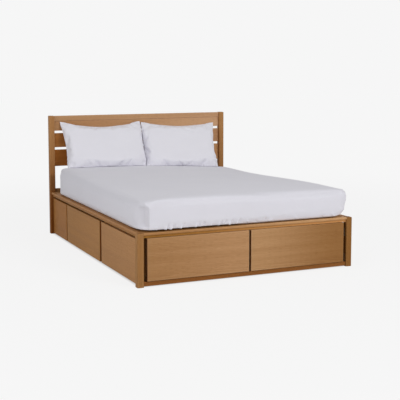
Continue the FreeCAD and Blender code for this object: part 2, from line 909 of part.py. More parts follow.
def soft(label, shape, at, lean=0):
    """A soft sub-part from a finished shape, leaning back about its own X axis."""
    item = doc.addObject("Part::Feature", label)
    item.Shape = shape
    item.Placement = FreeCAD.Placement(at, FreeCAD.Rotation(Vector(1, 0, 0), -lean))
    return keep(item, label)


mattress_at = Vector(0, value("mattress_middle"), 0)
gap = value("soft_clearance")
soft("mattress", mattress_form(-gap), mattress_at)
soft("fitted_sheet", sheet_form(value("sheet_thickness")), mattress_at)

# A pillow leans back until it meets the headboard's slats, and stands on the mattress
lean = value("pillow_lean_angle")
leaning = pillow_form()
leaning.Placement = FreeCAD.Placement(Vector(), FreeCAD.Rotation(Vector(1, 0, 0), -lean))
reach = leaning.optimalBoundingBox(False, False)
stand = value("mattress_top") + gap - reach.ZMin
rest = value("head_post_face + head_slat_inset") - gap - reach.YMax
for side, sign in (("left", -1), ("right", 1)):
    at = Vector(sign * value("pillow_offset"), rest, stand)
    soft(f"pillow_{side}", pillow_form(), at, lean)

doc.recompute()

for item in doc.Objects:
    if "Invalid" in item.State or "Error" in item.State:
        raise RuntimeError(f"{item.Label} failed: {item.State}")
for item in subparts:
    if item.Shape.isNull() or not item.Shape.isValid():
        raise RuntimeError(f"{item.Label} has no valid shape")

os.makedirs("parts", exist_ok=True)
for item in subparts:
    item.Shape.exportStep(f"parts/{item.Label}.step")
print(len(subparts), "sub-parts written")
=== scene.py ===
"""Looks of a low wooden storage bed: oak boards, drawer boxes on steel slides, white bedding.

All places and sizes are in metres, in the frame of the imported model: +Y runs along the bed
towards the headboard, +X to the right seen from the foot end, and the floor is at zero.
"""

import json
import logging
import math
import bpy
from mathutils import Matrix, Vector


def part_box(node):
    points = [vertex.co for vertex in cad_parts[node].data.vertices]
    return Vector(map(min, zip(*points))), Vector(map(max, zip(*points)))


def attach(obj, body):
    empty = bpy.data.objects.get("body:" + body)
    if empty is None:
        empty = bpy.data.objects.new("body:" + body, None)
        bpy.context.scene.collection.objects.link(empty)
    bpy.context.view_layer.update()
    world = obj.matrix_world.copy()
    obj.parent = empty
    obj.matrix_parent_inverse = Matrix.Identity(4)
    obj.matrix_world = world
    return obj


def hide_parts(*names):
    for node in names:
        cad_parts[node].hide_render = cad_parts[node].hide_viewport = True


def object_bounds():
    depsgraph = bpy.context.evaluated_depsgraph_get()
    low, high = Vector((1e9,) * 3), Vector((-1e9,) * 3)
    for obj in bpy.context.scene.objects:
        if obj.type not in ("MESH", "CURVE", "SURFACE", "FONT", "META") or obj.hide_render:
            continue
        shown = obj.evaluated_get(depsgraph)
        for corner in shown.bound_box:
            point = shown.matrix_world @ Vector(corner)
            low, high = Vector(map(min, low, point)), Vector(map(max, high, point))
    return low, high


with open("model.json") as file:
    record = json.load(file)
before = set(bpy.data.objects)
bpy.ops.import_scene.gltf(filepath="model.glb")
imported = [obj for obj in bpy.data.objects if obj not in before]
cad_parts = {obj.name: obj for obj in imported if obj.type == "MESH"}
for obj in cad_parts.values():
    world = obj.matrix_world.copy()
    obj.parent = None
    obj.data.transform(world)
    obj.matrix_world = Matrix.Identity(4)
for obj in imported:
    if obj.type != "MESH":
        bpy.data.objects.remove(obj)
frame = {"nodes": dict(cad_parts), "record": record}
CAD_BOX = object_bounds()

import zlib
from collections.abc import Iterator
from contextlib import contextmanager
from dataclasses import dataclass, replace
from enum import Enum
from functools import cache
from typing import Any

import bmesh
import bpy
import numpy as np
from mathutils import Matrix, Vector
from mathutils.bvhtree import BVHTree

LOG = logging.getLogger("storage_bed")
FRAME_BODY = "frame"

Colour = tuple[float, float, float, float]
Triple = tuple[float, float, float]
Span = tuple[float, float]
Piece = bpy.types.Object
Material = bpy.types.Material
Tree = bpy.types.NodeTree
Socket = bpy.types.NodeSocket
Shape = bmesh.types.BMesh
Rows = np.ndarray

ORIGIN: Triple = (0.0, 0.0, 0.0)
# The side and the end of each corner of the bedding, seen from its middle
CORNER_SIGNS = ((-1, -1), (1, -1), (-1, 1), (1, 1))
# How near a point is to a level that it lies on
NEAR = 1e-5


def opaque(red: float, green: float, blue: float) -> Colour:
    """A linear colour with full alpha."""
    return (red, green, blue, 1.0)


def toned(colour: Colour, tone: float) -> Colour:
    """A colour made lighter or darker by a factor."""
    return opaque(*(min(part * tone, 1.0) for part in colour[:3]))


class NodeGraph:
    """A shader node tree that is filled one node at a time."""

    def __init__(self, tree: Tree) -> None:
        """Keep the tree to fill."""
        self.tree = tree

    def feed(self, node: bpy.types.Node, key: str | int, given: Any) -> None:
        """Give one of a node's inputs a value or an output socket.

        Args:
            node: the node.
            key: the input's name or number.
            given: the value or the socket.
        """
        if isinstance(given, Socket):
            self.tree.links.new(given, node.inputs[key])
        else:
            node.inputs[key].default_value = given

    def add(self, kind: str, inputs: dict[Any, Any] | None = None, **settings: Any) -> bpy.types.Node:
        """Add a node.

        Args:
            kind: the node's type name.
            inputs: values or output sockets for its inputs, by name or number.
            settings: values for the node's own properties.

        Returns:
            The new node.
        """
        node = self.tree.nodes.new(kind)
        for name, setting in settings.items():
            setattr(node, name, setting)
        for key, given in (inputs or {}).items():
            self.feed(node, key, given)
        return node

    def math(self, operation: str, first: Any, second: Any = 0.0, third: Any = 0.0) -> Socket:
        """A Math node's result for up to three values or sockets."""
        return self.add("ShaderNodeMath", {0: first, 1: second, 2: third}, operation=operation).outputs[0]

    def total(self, *terms: tuple[Any, float], base: float = 0.0) -> Socket:
        """Add sockets up, each times a weight of its own.

        Args:
            terms: the sockets with their weights.
            base: what the sum starts from.

        Returns:
            The sum.
        """
        result: Any = base
        for socket, weight in terms:
            result = self.math("MULTIPLY_ADD", socket, weight, result)
        return result

    def vector(self, operation: str, first: Any, second: Any = ORIGIN) -> Socket:
        """A Vector Math node's vector for two vectors or sockets."""
        return self.add("ShaderNodeVectorMath", {0: first, 1: second}, operation=operation).outputs[0]

    def scaled(self, place: Any, factor: Any) -> Socket:
        """A vector times a factor."""
        inputs = {0: place, "Scale": factor}
        return self.add("ShaderNodeVectorMath", inputs, operation="SCALE").outputs[0]

    def length(self, place: Any) -> Socket:
        """The length of a vector."""
        return self.add("ShaderNodeVectorMath", {0: place}, operation="LENGTH").outputs["Value"]

    def split(self, place: Any) -> Any:
        """The three parts of a vector."""
        return self.add("ShaderNodeSeparateXYZ", {0: place}).outputs

    def mix(self, factor: Any, first: Any, second: Any, way: str = "MIX") -> Socket:
        """A blend of two colours."""
        inputs = {0: factor, 6: first, 7: second}
        return self.add("ShaderNodeMix", inputs, data_type="RGBA", blend_type=way).outputs[2]

    def between(self, value: Any, low: float, high: float) -> Socket:
        """A smooth rise from 0 to 1 as a value goes from low to high."""
        inputs = {"Value": value, "From Min": low, "From Max": high}
        return self.add("ShaderNodeMapRange", inputs, interpolation_type="SMOOTHSTEP").outputs[0]

    def noise(self, place: Any, stretch: Triple, detail: float, rough: float = 0.5) -> Socket:
        """Make noise over a place that is scaled differently along each axis.

        Args:
            place: the socket with the place.
            stretch: how fast the noise changes along each axis.
            detail: how many finer layers it has.
            rough: how strong the finer layers are.

        Returns:
            The noise, about 0.5.
        """
        scaled = self.vector("MULTIPLY", place, stretch)
        inputs = {"Vector": scaled, "Scale": 1.0, "Detail": detail, "Roughness": rough}
        return self.add("ShaderNodeTexNoise", inputs).outputs[0]

    def swing(self, place: Any, stretch: Triple, detail: float, rough: float = 0.5) -> Socket:
        """The same noise about zero."""
        return self.math("SUBTRACT", self.noise(place, stretch, detail, rough), 0.5)

    def bump(self, strength: float, depth: float, height: Any, over: Any = None) -> Socket:
        """Bend the surface's normal by a height.

        Args:
            strength: how much of the height shows.
            depth: how deep a height of one is.
            height: the socket with the height.
            over: the normal that is bent, if it isn't the surface's own.

        Returns:
            The bent normal.
        """
        inputs = {"Strength": strength, "Distance": depth, "Height": height}
        if over is not None:
            inputs["Normal"] = over
        return self.add("ShaderNodeBump", inputs).outputs[0]

    def effect(self, tree: Tree, inputs: dict[str, Any]) -> Any:
        """The outputs of a shared effect that is placed with values of its own."""
        return self.add("ShaderNodeGroup", inputs, node_tree=tree).outputs


class EffectGroup(NodeGraph):
    """A shader node group with named inputs and outputs."""

    def __init__(self, name: str, inputs: dict[str, float | Triple], outputs: tuple[str, ...]) -> None:
        """Make an empty group.

        Args:
            name: the group's name.
            inputs: its inputs with their defaults; three numbers make a vector.
            outputs: the names of its value outputs.
        """
        super().__init__(bpy.data.node_groups.new(name, "ShaderNodeTree"))
        for label, default in inputs.items():
            kind = "NodeSocketVector" if isinstance(default, tuple) else "NodeSocketFloat"
            socket = self.tree.interface.new_socket(label, in_out="INPUT", socket_type=kind)
            socket.default_value = default
        for label in outputs:
            self.tree.interface.new_socket(label, in_out="OUTPUT", socket_type="NodeSocketFloat")
        self.given = self.tree.nodes.new("NodeGroupInput").outputs
        self.outlet = self.tree.nodes.new("NodeGroupOutput")

    def put(self, label: str, value: Socket) -> None:
        """Send a value to one of the group's outputs."""
        self.feed(self.outlet, label, value)


class Surface(NodeGraph):
    """A new material, whose Principled shader is given its inputs one at a time."""

    def __init__(self, name: str) -> None:
        """Make a plain material.

        Args:
            name: the material's name.
        """
        self.material = bpy.data.materials.new(name)
        self.material.use_nodes = True
        super().__init__(self.material.node_tree)
        self.shader = self.tree.nodes["Principled BSDF"]
        coords = self.add("ShaderNodeTexCoord").outputs
        self.place = coords["Object"]
        self.normal = coords["Normal"]

    def put(self, label: str, given: Any) -> None:
        """Give one of the shader's inputs a value or a socket."""
        self.feed(self.shader, label, given)


@cache
def board_grain() -> Tree:
    """Make the growth rings, streaks, fibres, pores and flecks of a board whose grain runs along X.

    Returns:
        The node group.
    """
    group = EffectGroup(
        "board_grain",
        {"Vector": ORIGIN, "Ring Spacing": 0.006, "Waviness": 0.01, "Pith Depth": 0.09},
        ("Ring", "Streak", "Fibre", "Pore", "Fleck"),
    )
    place = group.given["Vector"]
    parts = group.split(place)
    sway = group.swing(place, (0.9, 9.0, 9.0), 3.0)
    ripple = group.swing(place, (6.0, 70.0, 70.0), 2.0)
    bend = group.math("MULTIPLY_ADD", ripple, 0.14, sway)
    across = group.math("MULTIPLY_ADD", parts[0], 0.013, parts[1])
    lean = group.math("MULTIPLY_ADD", parts[0], 0.022, parts[2])
    depth = group.math("ADD", lean, group.given["Pith Depth"])
    flat = group.add("ShaderNodeCombineXYZ", {1: across, 2: depth}).outputs[0]
    radius = group.length(flat)
    bent = group.math("MULTIPLY_ADD", bend, group.given["Waviness"], radius)
    phase = group.math("FRACT", group.math("DIVIDE", bent, group.given["Ring Spacing"]))
    late = group.between(phase, 0.05, 0.82)
    fall = group.math("SUBTRACT", 1.0, group.between(phase, 0.86, 1.0))
    ring = group.math("MULTIPLY", late, fall)
    group.put("Ring", ring)
    group.put("Streak", group.between(group.noise(place, (0.55, 30.0, 30.0), 4.0, 0.6), 0.28, 0.72))
    group.put("Fibre", group.noise(place, (3.2, 380.0, 380.0), 3.0))
    dots = group.between(group.noise(place, (24.0, 1000.0, 1000.0), 0.0), 0.62, 0.72)
    early = group.total((ring, -0.55), base=1.0)
    group.put("Pore", group.math("MULTIPLY", dots, early))
    group.put("Fleck", group.between(group.noise(place, (16.0, 210.0, 120.0), 1.0), 0.64, 0.74))
    return group.tree


@cache
def edge_wear() -> Tree:
    """Make a mask along the edges of a board, from its middle and half size.

    Returns:
        The node group.
    """
    group = EffectGroup(
        "edge_wear",
        {"Vector": ORIGIN, "Centre": ORIGIN, "Half Size": (1.0, 1.0, 1.0), "Width": 0.006},
        ("Edge",),
    )
    place = group.given["Vector"]
    from_middle = group.vector("SUBTRACT", place, group.given["Centre"])
    away = group.vector("ABSOLUTE", from_middle)
    gaps = group.split(group.vector("SUBTRACT", group.given["Half Size"], away))
    low = group.math("MINIMUM", gaps[0], gaps[1])
    high = group.math("MAXIMUM", gaps[0], gaps[1])
    second = group.math("MAXIMUM", low, group.math("MINIMUM", high, gaps[2]))
    patchy = group.noise(place, (38.0, 38.0, 38.0), 3.0, 0.65)
    reach = group.math("MULTIPLY", group.given["Width"], group.math("MULTIPLY", patchy, 2.0))
    share = group.math("DIVIDE", second, group.math("MAXIMUM", reach, 0.0001))
    group.put("Edge", group.math("SUBTRACT", 1.0, group.between(share, 0.25, 1.0)))
    return group.tree


@cache
def cloth_weave() -> Tree:
    """Make the height of a plain weave, and the unevenness of its threads.

    Returns:
        The node group.
    """
    group = EffectGroup("cloth_weave", {"Vector": ORIGIN, "Pitch": 0.0009}, ("Height", "Slub"))
    place = group.given["Vector"]
    turns = group.math("DIVIDE", 2.0 * math.pi, group.given["Pitch"])
    waves = group.split(group.vector("SINE", group.scaled(place, turns)))
    weft = group.math("MULTIPLY", waves[0], waves[1])
    warp = group.math("MULTIPLY_ADD", waves[1], waves[2], weft)
    group.put("Height", group.math("MULTIPLY_ADD", waves[0], waves[2], warp))
    along = group.noise(place, (9.0, 420.0, 420.0), 1.0)
    over = group.noise(place, (420.0, 9.0, 420.0), 1.0)
    group.put("Slub", group.math("MULTIPLY", group.math("ADD", along, over), 0.5))
    return group.tree


@cache
def cloth_crumple() -> Tree:
    """Make the soft creases and hollows of washed cloth, wider and finer ones together.

    Returns:
        The node group.
    """
    group = EffectGroup("cloth_crumple", {"Vector": ORIGIN, "Scale": 1.0}, ("Height", "Shade"))
    place = group.scaled(group.given["Vector"], group.given["Scale"])
    swell = group.noise(place, (3.0, 3.0, 4.0), 2.0)
    folds = group.math("ABSOLUTE", group.swing(place, (9.0, 7.0, 13.0), 3.0, 0.45))
    creases = group.math("ABSOLUTE", group.swing(place, (26.0, 19.0, 31.0), 2.0))
    group.put("Height", group.total((folds, -1.0), (creases, -0.35), (swell, 0.6)))
    group.put("Shade", group.between(swell, 0.3, 0.7))
    return group.tree


@cache
def zinc_bloom() -> Tree:
    """Make the mottle of zinc plating and the drawn lines along a rolled channel.

    Returns:
        The node group.
    """
    group = EffectGroup("zinc_bloom", {"Vector": ORIGIN}, ("Mottle", "Lines"))
    place = group.given["Vector"]
    group.put("Mottle", group.between(group.noise(place, (90.0, 90.0, 90.0), 4.0, 0.6), 0.25, 0.75))
    group.put("Lines", group.noise(place, (12.0, 12.0, 900.0), 2.0))
    return group.tree


class Grain(Enum):
    """The way a board's grain runs, as the turn that brings X onto that axis."""

    ACROSS = (0, (0.0, 0.0, 0.0))
    ALONG = (1, (0.0, 0.0, math.pi / 2))
    UPRIGHT = (2, (0.0, -math.pi / 2, 0.0))

    @property
    def axis(self) -> int:
        """The number of the axis that the grain follows."""
        return self.value[0]

    @property
    def turn(self) -> Triple:
        """The turn from X to the grain's axis."""
        return self.value[1]

    @classmethod
    def longest(cls, size: Vector) -> "Grain":
        """The grain of a plain board, along its longest side."""
        return list(cls)[max(range(3), key=lambda axis: size[axis])]


@dataclass(frozen=True)
class Board:
    """One board, or a set of like boards, with the way its grain runs and any light and shade painted along
    it.
    """

    node: str
    grain: Grain
    centre: Vector
    half: Vector
    # Painted light and shade: the multipliers of the colour at the board's two ends
    painted_shading_ends: tuple[Triple, Triple] | None = None

    @classmethod
    def from_node(
        cls, node: str, grain: Grain | None = None, painted_shading_ends: tuple[Triple, Triple] | None = None
    ) -> "Board":
        """Read a board's place from the frame.

        Args:
            node: the name of its node.
            grain: the way its grain runs, if that isn't its longest side.
            painted_shading_ends: the painted light and shade that its wood's colour is multiplied by at its
                two ends, if it has any.

        Returns:
            The board.
        """
        low, high = (Vector(corner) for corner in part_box(node))
        return cls(node, grain or Grain.longest(high - low), (low + high) / 2, (high - low) / 2, painted_shading_ends)

    @property
    def seed(self) -> int:
        """A number of the board's own, the same on every run."""
        return zlib.crc32(self.node.encode())

    def chance(self, step: int, span: Span) -> float:
        """One of the board's own numbers, somewhere in a span."""
        share = ((self.seed >> (step * 5)) % 97) / 96.0
        return span[0] + (span[1] - span[0]) * share


@dataclass(frozen=True)
class WoodFinish:
    """A species of wood with its lacquer."""

    name: str
    light: Colour
    dark: Colour
    pore: Colour
    fleck: Colour
    worn: Colour
    end: Colour | None = None
    ring_spacing: float = 0.007
    ring_swing: Span = (0.8, 1.3)
    waviness: float = 0.03
    pith_depth: Span = (0.05, 0.15)
    shift_along: Span = (0.0, 3.0)
    shift_across: Span = (-0.04, 0.04)
    shift_deep: Span = (0.0, 0.03)
    tone: Span = (0.94, 1.06)
    ring_share: float = 0.4
    streak_share: float = 0.35
    fibre_share: float = 0.25
    pore_share: float = 0.4
    fleck_share: float = 0.2
    end_share: float = 0.75
    top_share: float = 0.3
    end_facing: Span = (0.75, 0.95)
    wear_share: float = 0.35
    wear_width: float = 0.005
    roughness: float = 0.5
    pore_rough: float = 0.18
    streak_rough: float = -0.06
    edge_rough: float = -0.05
    gloss: float = 0.04
    relief: float = 0.3
    relief_depth: float = 0.0003
    pore_height: float = -1.0
    ring_height: float = -0.25
    fibre_height: float = 0.3

    def material(self, board: Board) -> Material:
        """Make this wood for one board.

        Args:
            board: the board to dress.

        Returns:
            Its material.
        """
        surface = Surface(f"{self.name}_{board.node}")
        grain = self.grain_of(board, surface)
        worn = {"Centre": board.centre, "Half Size": board.half, "Width": self.wear_width}
        edge = surface.effect(edge_wear(), {"Vector": surface.place, **worn})["Edge"]
        surface.put("Base Color", self.colour_of(board, surface, grain, edge))
        pore, streak = grain["Pore"], grain["Streak"]
        rough = ((pore, self.pore_rough), (streak, self.streak_rough), (edge, self.edge_rough))
        surface.put("Roughness", surface.total(*rough, base=self.roughness))
        surface.put("Specular IOR Level", self.gloss)
        heights = (
            (pore, self.pore_height),
            (grain["Ring"], self.ring_height),
            (grain["Fibre"], self.fibre_height),
        )
        surface.put("Normal", surface.bump(self.relief, self.relief_depth, surface.total(*heights)))
        return surface.material

    def grain_of(self, board: Board, surface: Surface) -> Any:
        """Lay the grain along a board, cut from a place of its own in the tree.

        Args:
            board: the board.
            surface: its material.

        Returns:
            The outputs of the grain.
        """
        turned = surface.add(
            "ShaderNodeMapping",
            {"Vector": surface.place, "Location": board.centre, "Rotation": board.grain.turn},
            vector_type="TEXTURE",
        ).outputs[0]
        spans = (self.shift_along, self.shift_across, self.shift_deep)
        shift = tuple(board.chance(step, span) for step, span in enumerate(spans, start=1))
        cut = {
            "Vector": surface.vector("ADD", turned, shift),
            "Ring Spacing": self.ring_spacing * board.chance(4, self.ring_swing),
            "Waviness": self.waviness,
            "Pith Depth": board.chance(5, self.pith_depth),
        }
        return surface.effect(board_grain(), cut)

    def colour_of(
        self, board: Board, surface: Surface, grain: Any, edge: Socket
    ) -> Socket:
        """Mix the colours of a board's grain, end grain and worn edges, and multiply in the light and shade
        painted along it.

        Args:
            board: the board.
            surface: its material.
            grain: the outputs of its grain.
            edge: the mask of its worn edges.

        Returns:
            The colour.
        """
        axis = board.grain.axis
        tone = board.chance(0, self.tone)
        amount = surface.total(
            (grain["Ring"], self.ring_share),
            (grain["Streak"], self.streak_share),
            (grain["Fibre"], self.fibre_share),
        )
        colour = surface.mix(amount, toned(self.light, tone), toned(self.dark, tone))
        facing = surface.math("ABSOLUTE", surface.split(surface.normal)[axis])
        end_share = self.top_share if board.grain is Grain.UPRIGHT else self.end_share
        layers = (
            (grain["Fleck"], self.fleck_share, toned(self.fleck, tone)),
            (grain["Pore"], self.pore_share, self.pore),
            (surface.between(facing, *self.end_facing), end_share, self.end or self.pore),
            (edge, self.wear_share, toned(self.worn, tone)),
        )
        for mask, share, paint in layers:
            colour = surface.mix(surface.math("MULTIPLY", mask, share), colour, paint)
        # Painted light and shade: the colour is multiplied by a blend that runs from one end of the board to
        # the other
        if board.painted_shading_ends:
            along = surface.split(surface.place)[axis]
            middle, reach = board.centre[axis], board.half[axis]
            share = surface.between(along, middle - reach, middle + reach)
            painted_shading = surface.mix(share, opaque(*board.painted_shading_ends[0]), opaque(*board.painted_shading_ends[1]))
            colour = surface.mix(1.0, colour, painted_shading, "MULTIPLY")
        return colour


@dataclass(frozen=True)
class ClothFinish:
    """A woven cloth, washed and pressed."""

    name: str
    colour: Colour
    shade: Colour
    crumple: float
    crumple_scale: float
    pitch: float = 0.0009
    roughness: float = 0.82
    sheen: float = 0.12
    sheen_roughness: float = 0.6
    hollow_share: float = 0.3
    slub_share: float = 0.5
    slub_rough: float = 0.1
    crumple_depth: float = 0.012
    thread: float = 0.12
    thread_depth: float = 0.0002

    def material(self) -> Material:
        """Make this cloth.

        Returns:
            Its material.
        """
        surface = Surface(self.name)
        weave = surface.effect(cloth_weave(), {"Vector": surface.place, "Pitch": self.pitch})
        crumple = surface.effect(cloth_crumple(), {"Vector": surface.place, "Scale": self.crumple_scale})
        amount = surface.total((crumple["Shade"], self.hollow_share), (weave["Slub"], self.slub_share))
        surface.put("Base Color", surface.mix(amount, self.colour, self.shade))
        surface.put("Roughness", surface.total((weave["Slub"], self.slub_rough), base=self.roughness))
        surface.put("Sheen Weight", self.sheen)
        surface.put("Sheen Roughness", self.sheen_roughness)
        soft = surface.bump(self.crumple, self.crumple_depth, crumple["Height"])
        surface.put("Normal", surface.bump(self.thread, self.thread_depth, weave["Height"], soft))
        return surface.material


@dataclass(frozen=True)
class SteelFinish:
    """Zinc-plated steel."""

    name: str
    bright: Colour
    dull: Colour
    roughness: float
    line_rough: float = 0.16
    relief: float = 0.2
    relief_depth: float = 0.0001

    def material(self) -> Material:
        """Make this steel.

        Returns:
            Its material.
        """
        surface = Surface(self.name)
        bloom = surface.effect(zinc_bloom(), {"Vector": surface.place})
        surface.put("Base Color", surface.mix(bloom["Mottle"], self.bright, self.dull))
        surface.put("Roughness", surface.total((bloom["Lines"], self.line_rough), base=self.roughness))
        surface.put("Metallic", 1.0)
        surface.put("Normal", surface.bump(self.relief, self.relief_depth, bloom["Lines"]))
        return surface.material


OAK = WoodFinish(
    "oak",
    light=opaque(0.47, 0.25, 0.108),
    dark=opaque(0.335, 0.158, 0.058),
    pore=opaque(0.16, 0.068, 0.022),
    fleck=opaque(0.55, 0.31, 0.145),
    worn=opaque(0.58, 0.35, 0.18),
    end=opaque(0.15, 0.042, 0.006),
)
PINE = WoodFinish(
    "pine",
    light=opaque(0.6, 0.34, 0.13),
    dark=opaque(0.44, 0.2, 0.055),
    pore=opaque(0.3, 0.12, 0.03),
    fleck=opaque(0.62, 0.37, 0.16),
    worn=opaque(0.64, 0.4, 0.18),
    ring_spacing=0.011,
    ring_share=0.6,
    pore_share=0.1,
    roughness=0.62,
)
BIRCH = WoodFinish(
    "birch",
    light=opaque(0.7, 0.54, 0.35),
    dark=opaque(0.58, 0.41, 0.24),
    pore=opaque(0.45, 0.28, 0.15),
    fleck=opaque(0.74, 0.59, 0.4),
    worn=opaque(0.75, 0.6, 0.42),
    ring_spacing=0.009,
    ring_share=0.3,
    pore_share=0.15,
    roughness=0.42,
)
PLYWOOD = WoodFinish(
    "birch_plywood",
    light=opaque(0.67, 0.51, 0.33),
    dark=opaque(0.54, 0.38, 0.22),
    pore=opaque(0.4, 0.25, 0.13),
    fleck=opaque(0.72, 0.57, 0.38),
    worn=opaque(0.72, 0.57, 0.38),
    ring_spacing=0.016,
    ring_share=0.45,
    pore_share=0.1,
    roughness=0.45,
)
SHEET_COTTON = ClothFinish(
    "sheet_percale", opaque(0.78, 0.77, 0.83), opaque(0.74, 0.73, 0.79), crumple=0.16, crumple_scale=1.0
)
PILLOW_COTTON = ClothFinish(
    "pillow_percale", opaque(0.84, 0.83, 0.885), opaque(0.8, 0.79, 0.845), crumple=0.2, crumple_scale=1.6
)
TICKING = ClothFinish(
    "mattress_ticking",
    opaque(0.72, 0.7, 0.66),
    opaque(0.64, 0.62, 0.58),
    crumple=0.3,
    crumple_scale=2.2,
    pitch=0.0022,
    roughness=0.88,
    sheen=0.2,
)
SLIDE_STEEL = SteelFinish("slide_zinc", opaque(0.34, 0.33, 0.32), opaque(0.22, 0.215, 0.21), 0.38)
PLATE_STEEL = SteelFinish("plate_zinc", opaque(0.4, 0.37, 0.32), opaque(0.28, 0.25, 0.21), 0.42)

WOODS = {"oak": OAK, "inner_pine": PINE, "drawer_box_birch": BIRCH, "drawer_bottom_ply": PLYWOOD}
STEELS = {"slide_steel": SLIDE_STEEL, "plate_steel": PLATE_STEEL}


def dress(piece: Piece, material: Material) -> None:
    """Give a whole piece one material."""
    piece.data.materials.clear()
    piece.data.materials.append(material)


def stand_in(piece: Piece, node: str) -> None:
    """Let a soft piece stand for a solid of the frame.

    Args:
        piece: the soft piece.
        node: the name of the solid's node.
    """
    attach(piece, FRAME_BODY)
    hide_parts(node)


def write_mesh(shape: Shape, mesh: bpy.types.Mesh) -> None:
    """Write a bmesh to a mesh with smooth faces.

    Args:
        shape: the bmesh, which is freed.
        mesh: the mesh to fill.
    """
    shape.to_mesh(mesh)
    shape.free()
    mesh.polygons.foreach_set("use_smooth", [True] * len(mesh.polygons))
    mesh.update()


def as_object(name: str, shape: Shape) -> Piece:
    """Turn a bmesh into an object at the origin, with smooth faces.

    Args:
        name: the object's name.
        shape: the bmesh, which is freed.

    Returns:
        The new object.
    """
    mesh = bpy.data.meshes.new(name)
    write_mesh(shape, mesh)
    piece = bpy.data.objects.new(name, mesh)
    bpy.context.scene.collection.objects.link(piece)
    return piece


@contextmanager
def edited(piece: Piece) -> Iterator[Shape]:
    """Open a piece's mesh as a bmesh, and write it back.

    Args:
        piece: the object, whose mesh is changed.

    Yields:
        The bmesh.
    """
    shape = bmesh.new()
    shape.from_mesh(piece.data)
    yield shape
    write_mesh(shape, piece.data)


def rows_of(items: Any, label: str) -> Rows:
    """Read one vector from each of a mesh's items.

    Args:
        items: the items.
        label: the name of the vector.

    Returns:
        The vectors, one row each.
    """
    flat = np.empty(len(items) * 3)
    items.foreach_get(label, flat)
    return flat.reshape(-1, 3)


def points_of(mesh: bpy.types.Mesh) -> Rows:
    """A mesh's vertex places, one row each."""
    return rows_of(mesh.vertices, "co")


def normals_of(mesh: bpy.types.Mesh) -> Rows:
    """A mesh's vertex normals, one row each."""
    return rows_of(mesh.vertex_normals, "vector")


def set_points(mesh: bpy.types.Mesh, points: Rows) -> None:
    """Move a mesh's vertices."""
    mesh.vertices.foreach_set("co", points.ravel())
    mesh.update()


def rise(values: Rows, low: float, high: float) -> Rows:
    """A smooth rise from 0 to 1 as values go from low to high."""
    share = np.clip((values - low) / (high - low), 0.0, 1.0)
    return share * share * (3.0 - 2.0 * share)


def even_out(piece: Piece, voxel: float, rounds: int = 3) -> None:
    """Replace a closed mesh by one of even faces, and smooth it.

    Args:
        piece: the object, whose mesh is changed.
        voxel: the size of the new faces.
        rounds: how often it is smoothed.
    """
    modifier = piece.modifiers.new("even", "REMESH")
    modifier.mode = "VOXEL"
    modifier.voxel_size = voxel
    modifier.use_smooth_shade = True
    shown = piece.evaluated_get(bpy.context.evaluated_depsgraph_get())
    mesh = bpy.data.meshes.new_from_object(shown)
    piece.modifiers.clear()
    old = piece.data
    piece.data = mesh
    mesh.name = piece.name
    bpy.data.meshes.remove(old)
    with edited(piece) as shape:
        for _ in range(rounds):
            bmesh.ops.smooth_vert(
                shape, verts=shape.verts, factor=0.5, use_axis_x=True, use_axis_y=True, use_axis_z=True
            )


@dataclass(frozen=True)
class ClothRun:
    """How a piece of cloth is pressed out by its filling, with no weight of its own."""

    frames: int
    pressure: float
    tension: float
    bending: float
    cap: float
    slack: float
    quality: int = 6
    mass: float = 0.25
    air_damping: float = 2.0
    shear_share: float = 0.4
    damping: float = 12.0

    def settle(self, piece: Piece, loose: str, pinned: str = "") -> None:
        """Run the cloth and keep its last frame as the piece's mesh.

        Args:
            piece: the object to settle.
            loose: the vertex group that has spare cloth.
            pinned: the vertex group that stays where it is.
        """
        scene = bpy.context.scene
        start = points_of(piece.data)
        cloth = piece.modifiers.new("settle", "CLOTH")
        cloth.point_cache.frame_start = 1
        cloth.point_cache.frame_end = self.frames
        settings = cloth.settings
        settings.quality = self.quality
        settings.mass = self.mass
        settings.air_damping = self.air_damping
        settings.tension_stiffness = self.tension
        settings.compression_stiffness = self.tension
        settings.shear_stiffness = self.tension * self.shear_share
        settings.bending_stiffness = self.bending
        settings.tension_damping = self.damping
        settings.compression_damping = self.damping
        settings.use_pressure = True
        settings.uniform_pressure_force = self.pressure
        settings.effector_weights.gravity = 0.0
        if pinned:
            settings.vertex_group_mass = pinned
        settings.vertex_group_shrink = loose
        settings.shrink_min = 0.0
        settings.shrink_max = -self.slack
        for number in range(1, self.frames + 1):
            scene.frame_set(number)
        shown = piece.evaluated_get(bpy.context.evaluated_depsgraph_get())
        moved = points_of(shown.data) - start
        piece.modifiers.clear()
        scene.frame_set(1)
        far = np.linalg.norm(moved, axis=1, keepdims=True)
        share = np.minimum(1.0, self.cap / np.maximum(far, 1e-9))
        set_points(piece.data, start + moved * share)


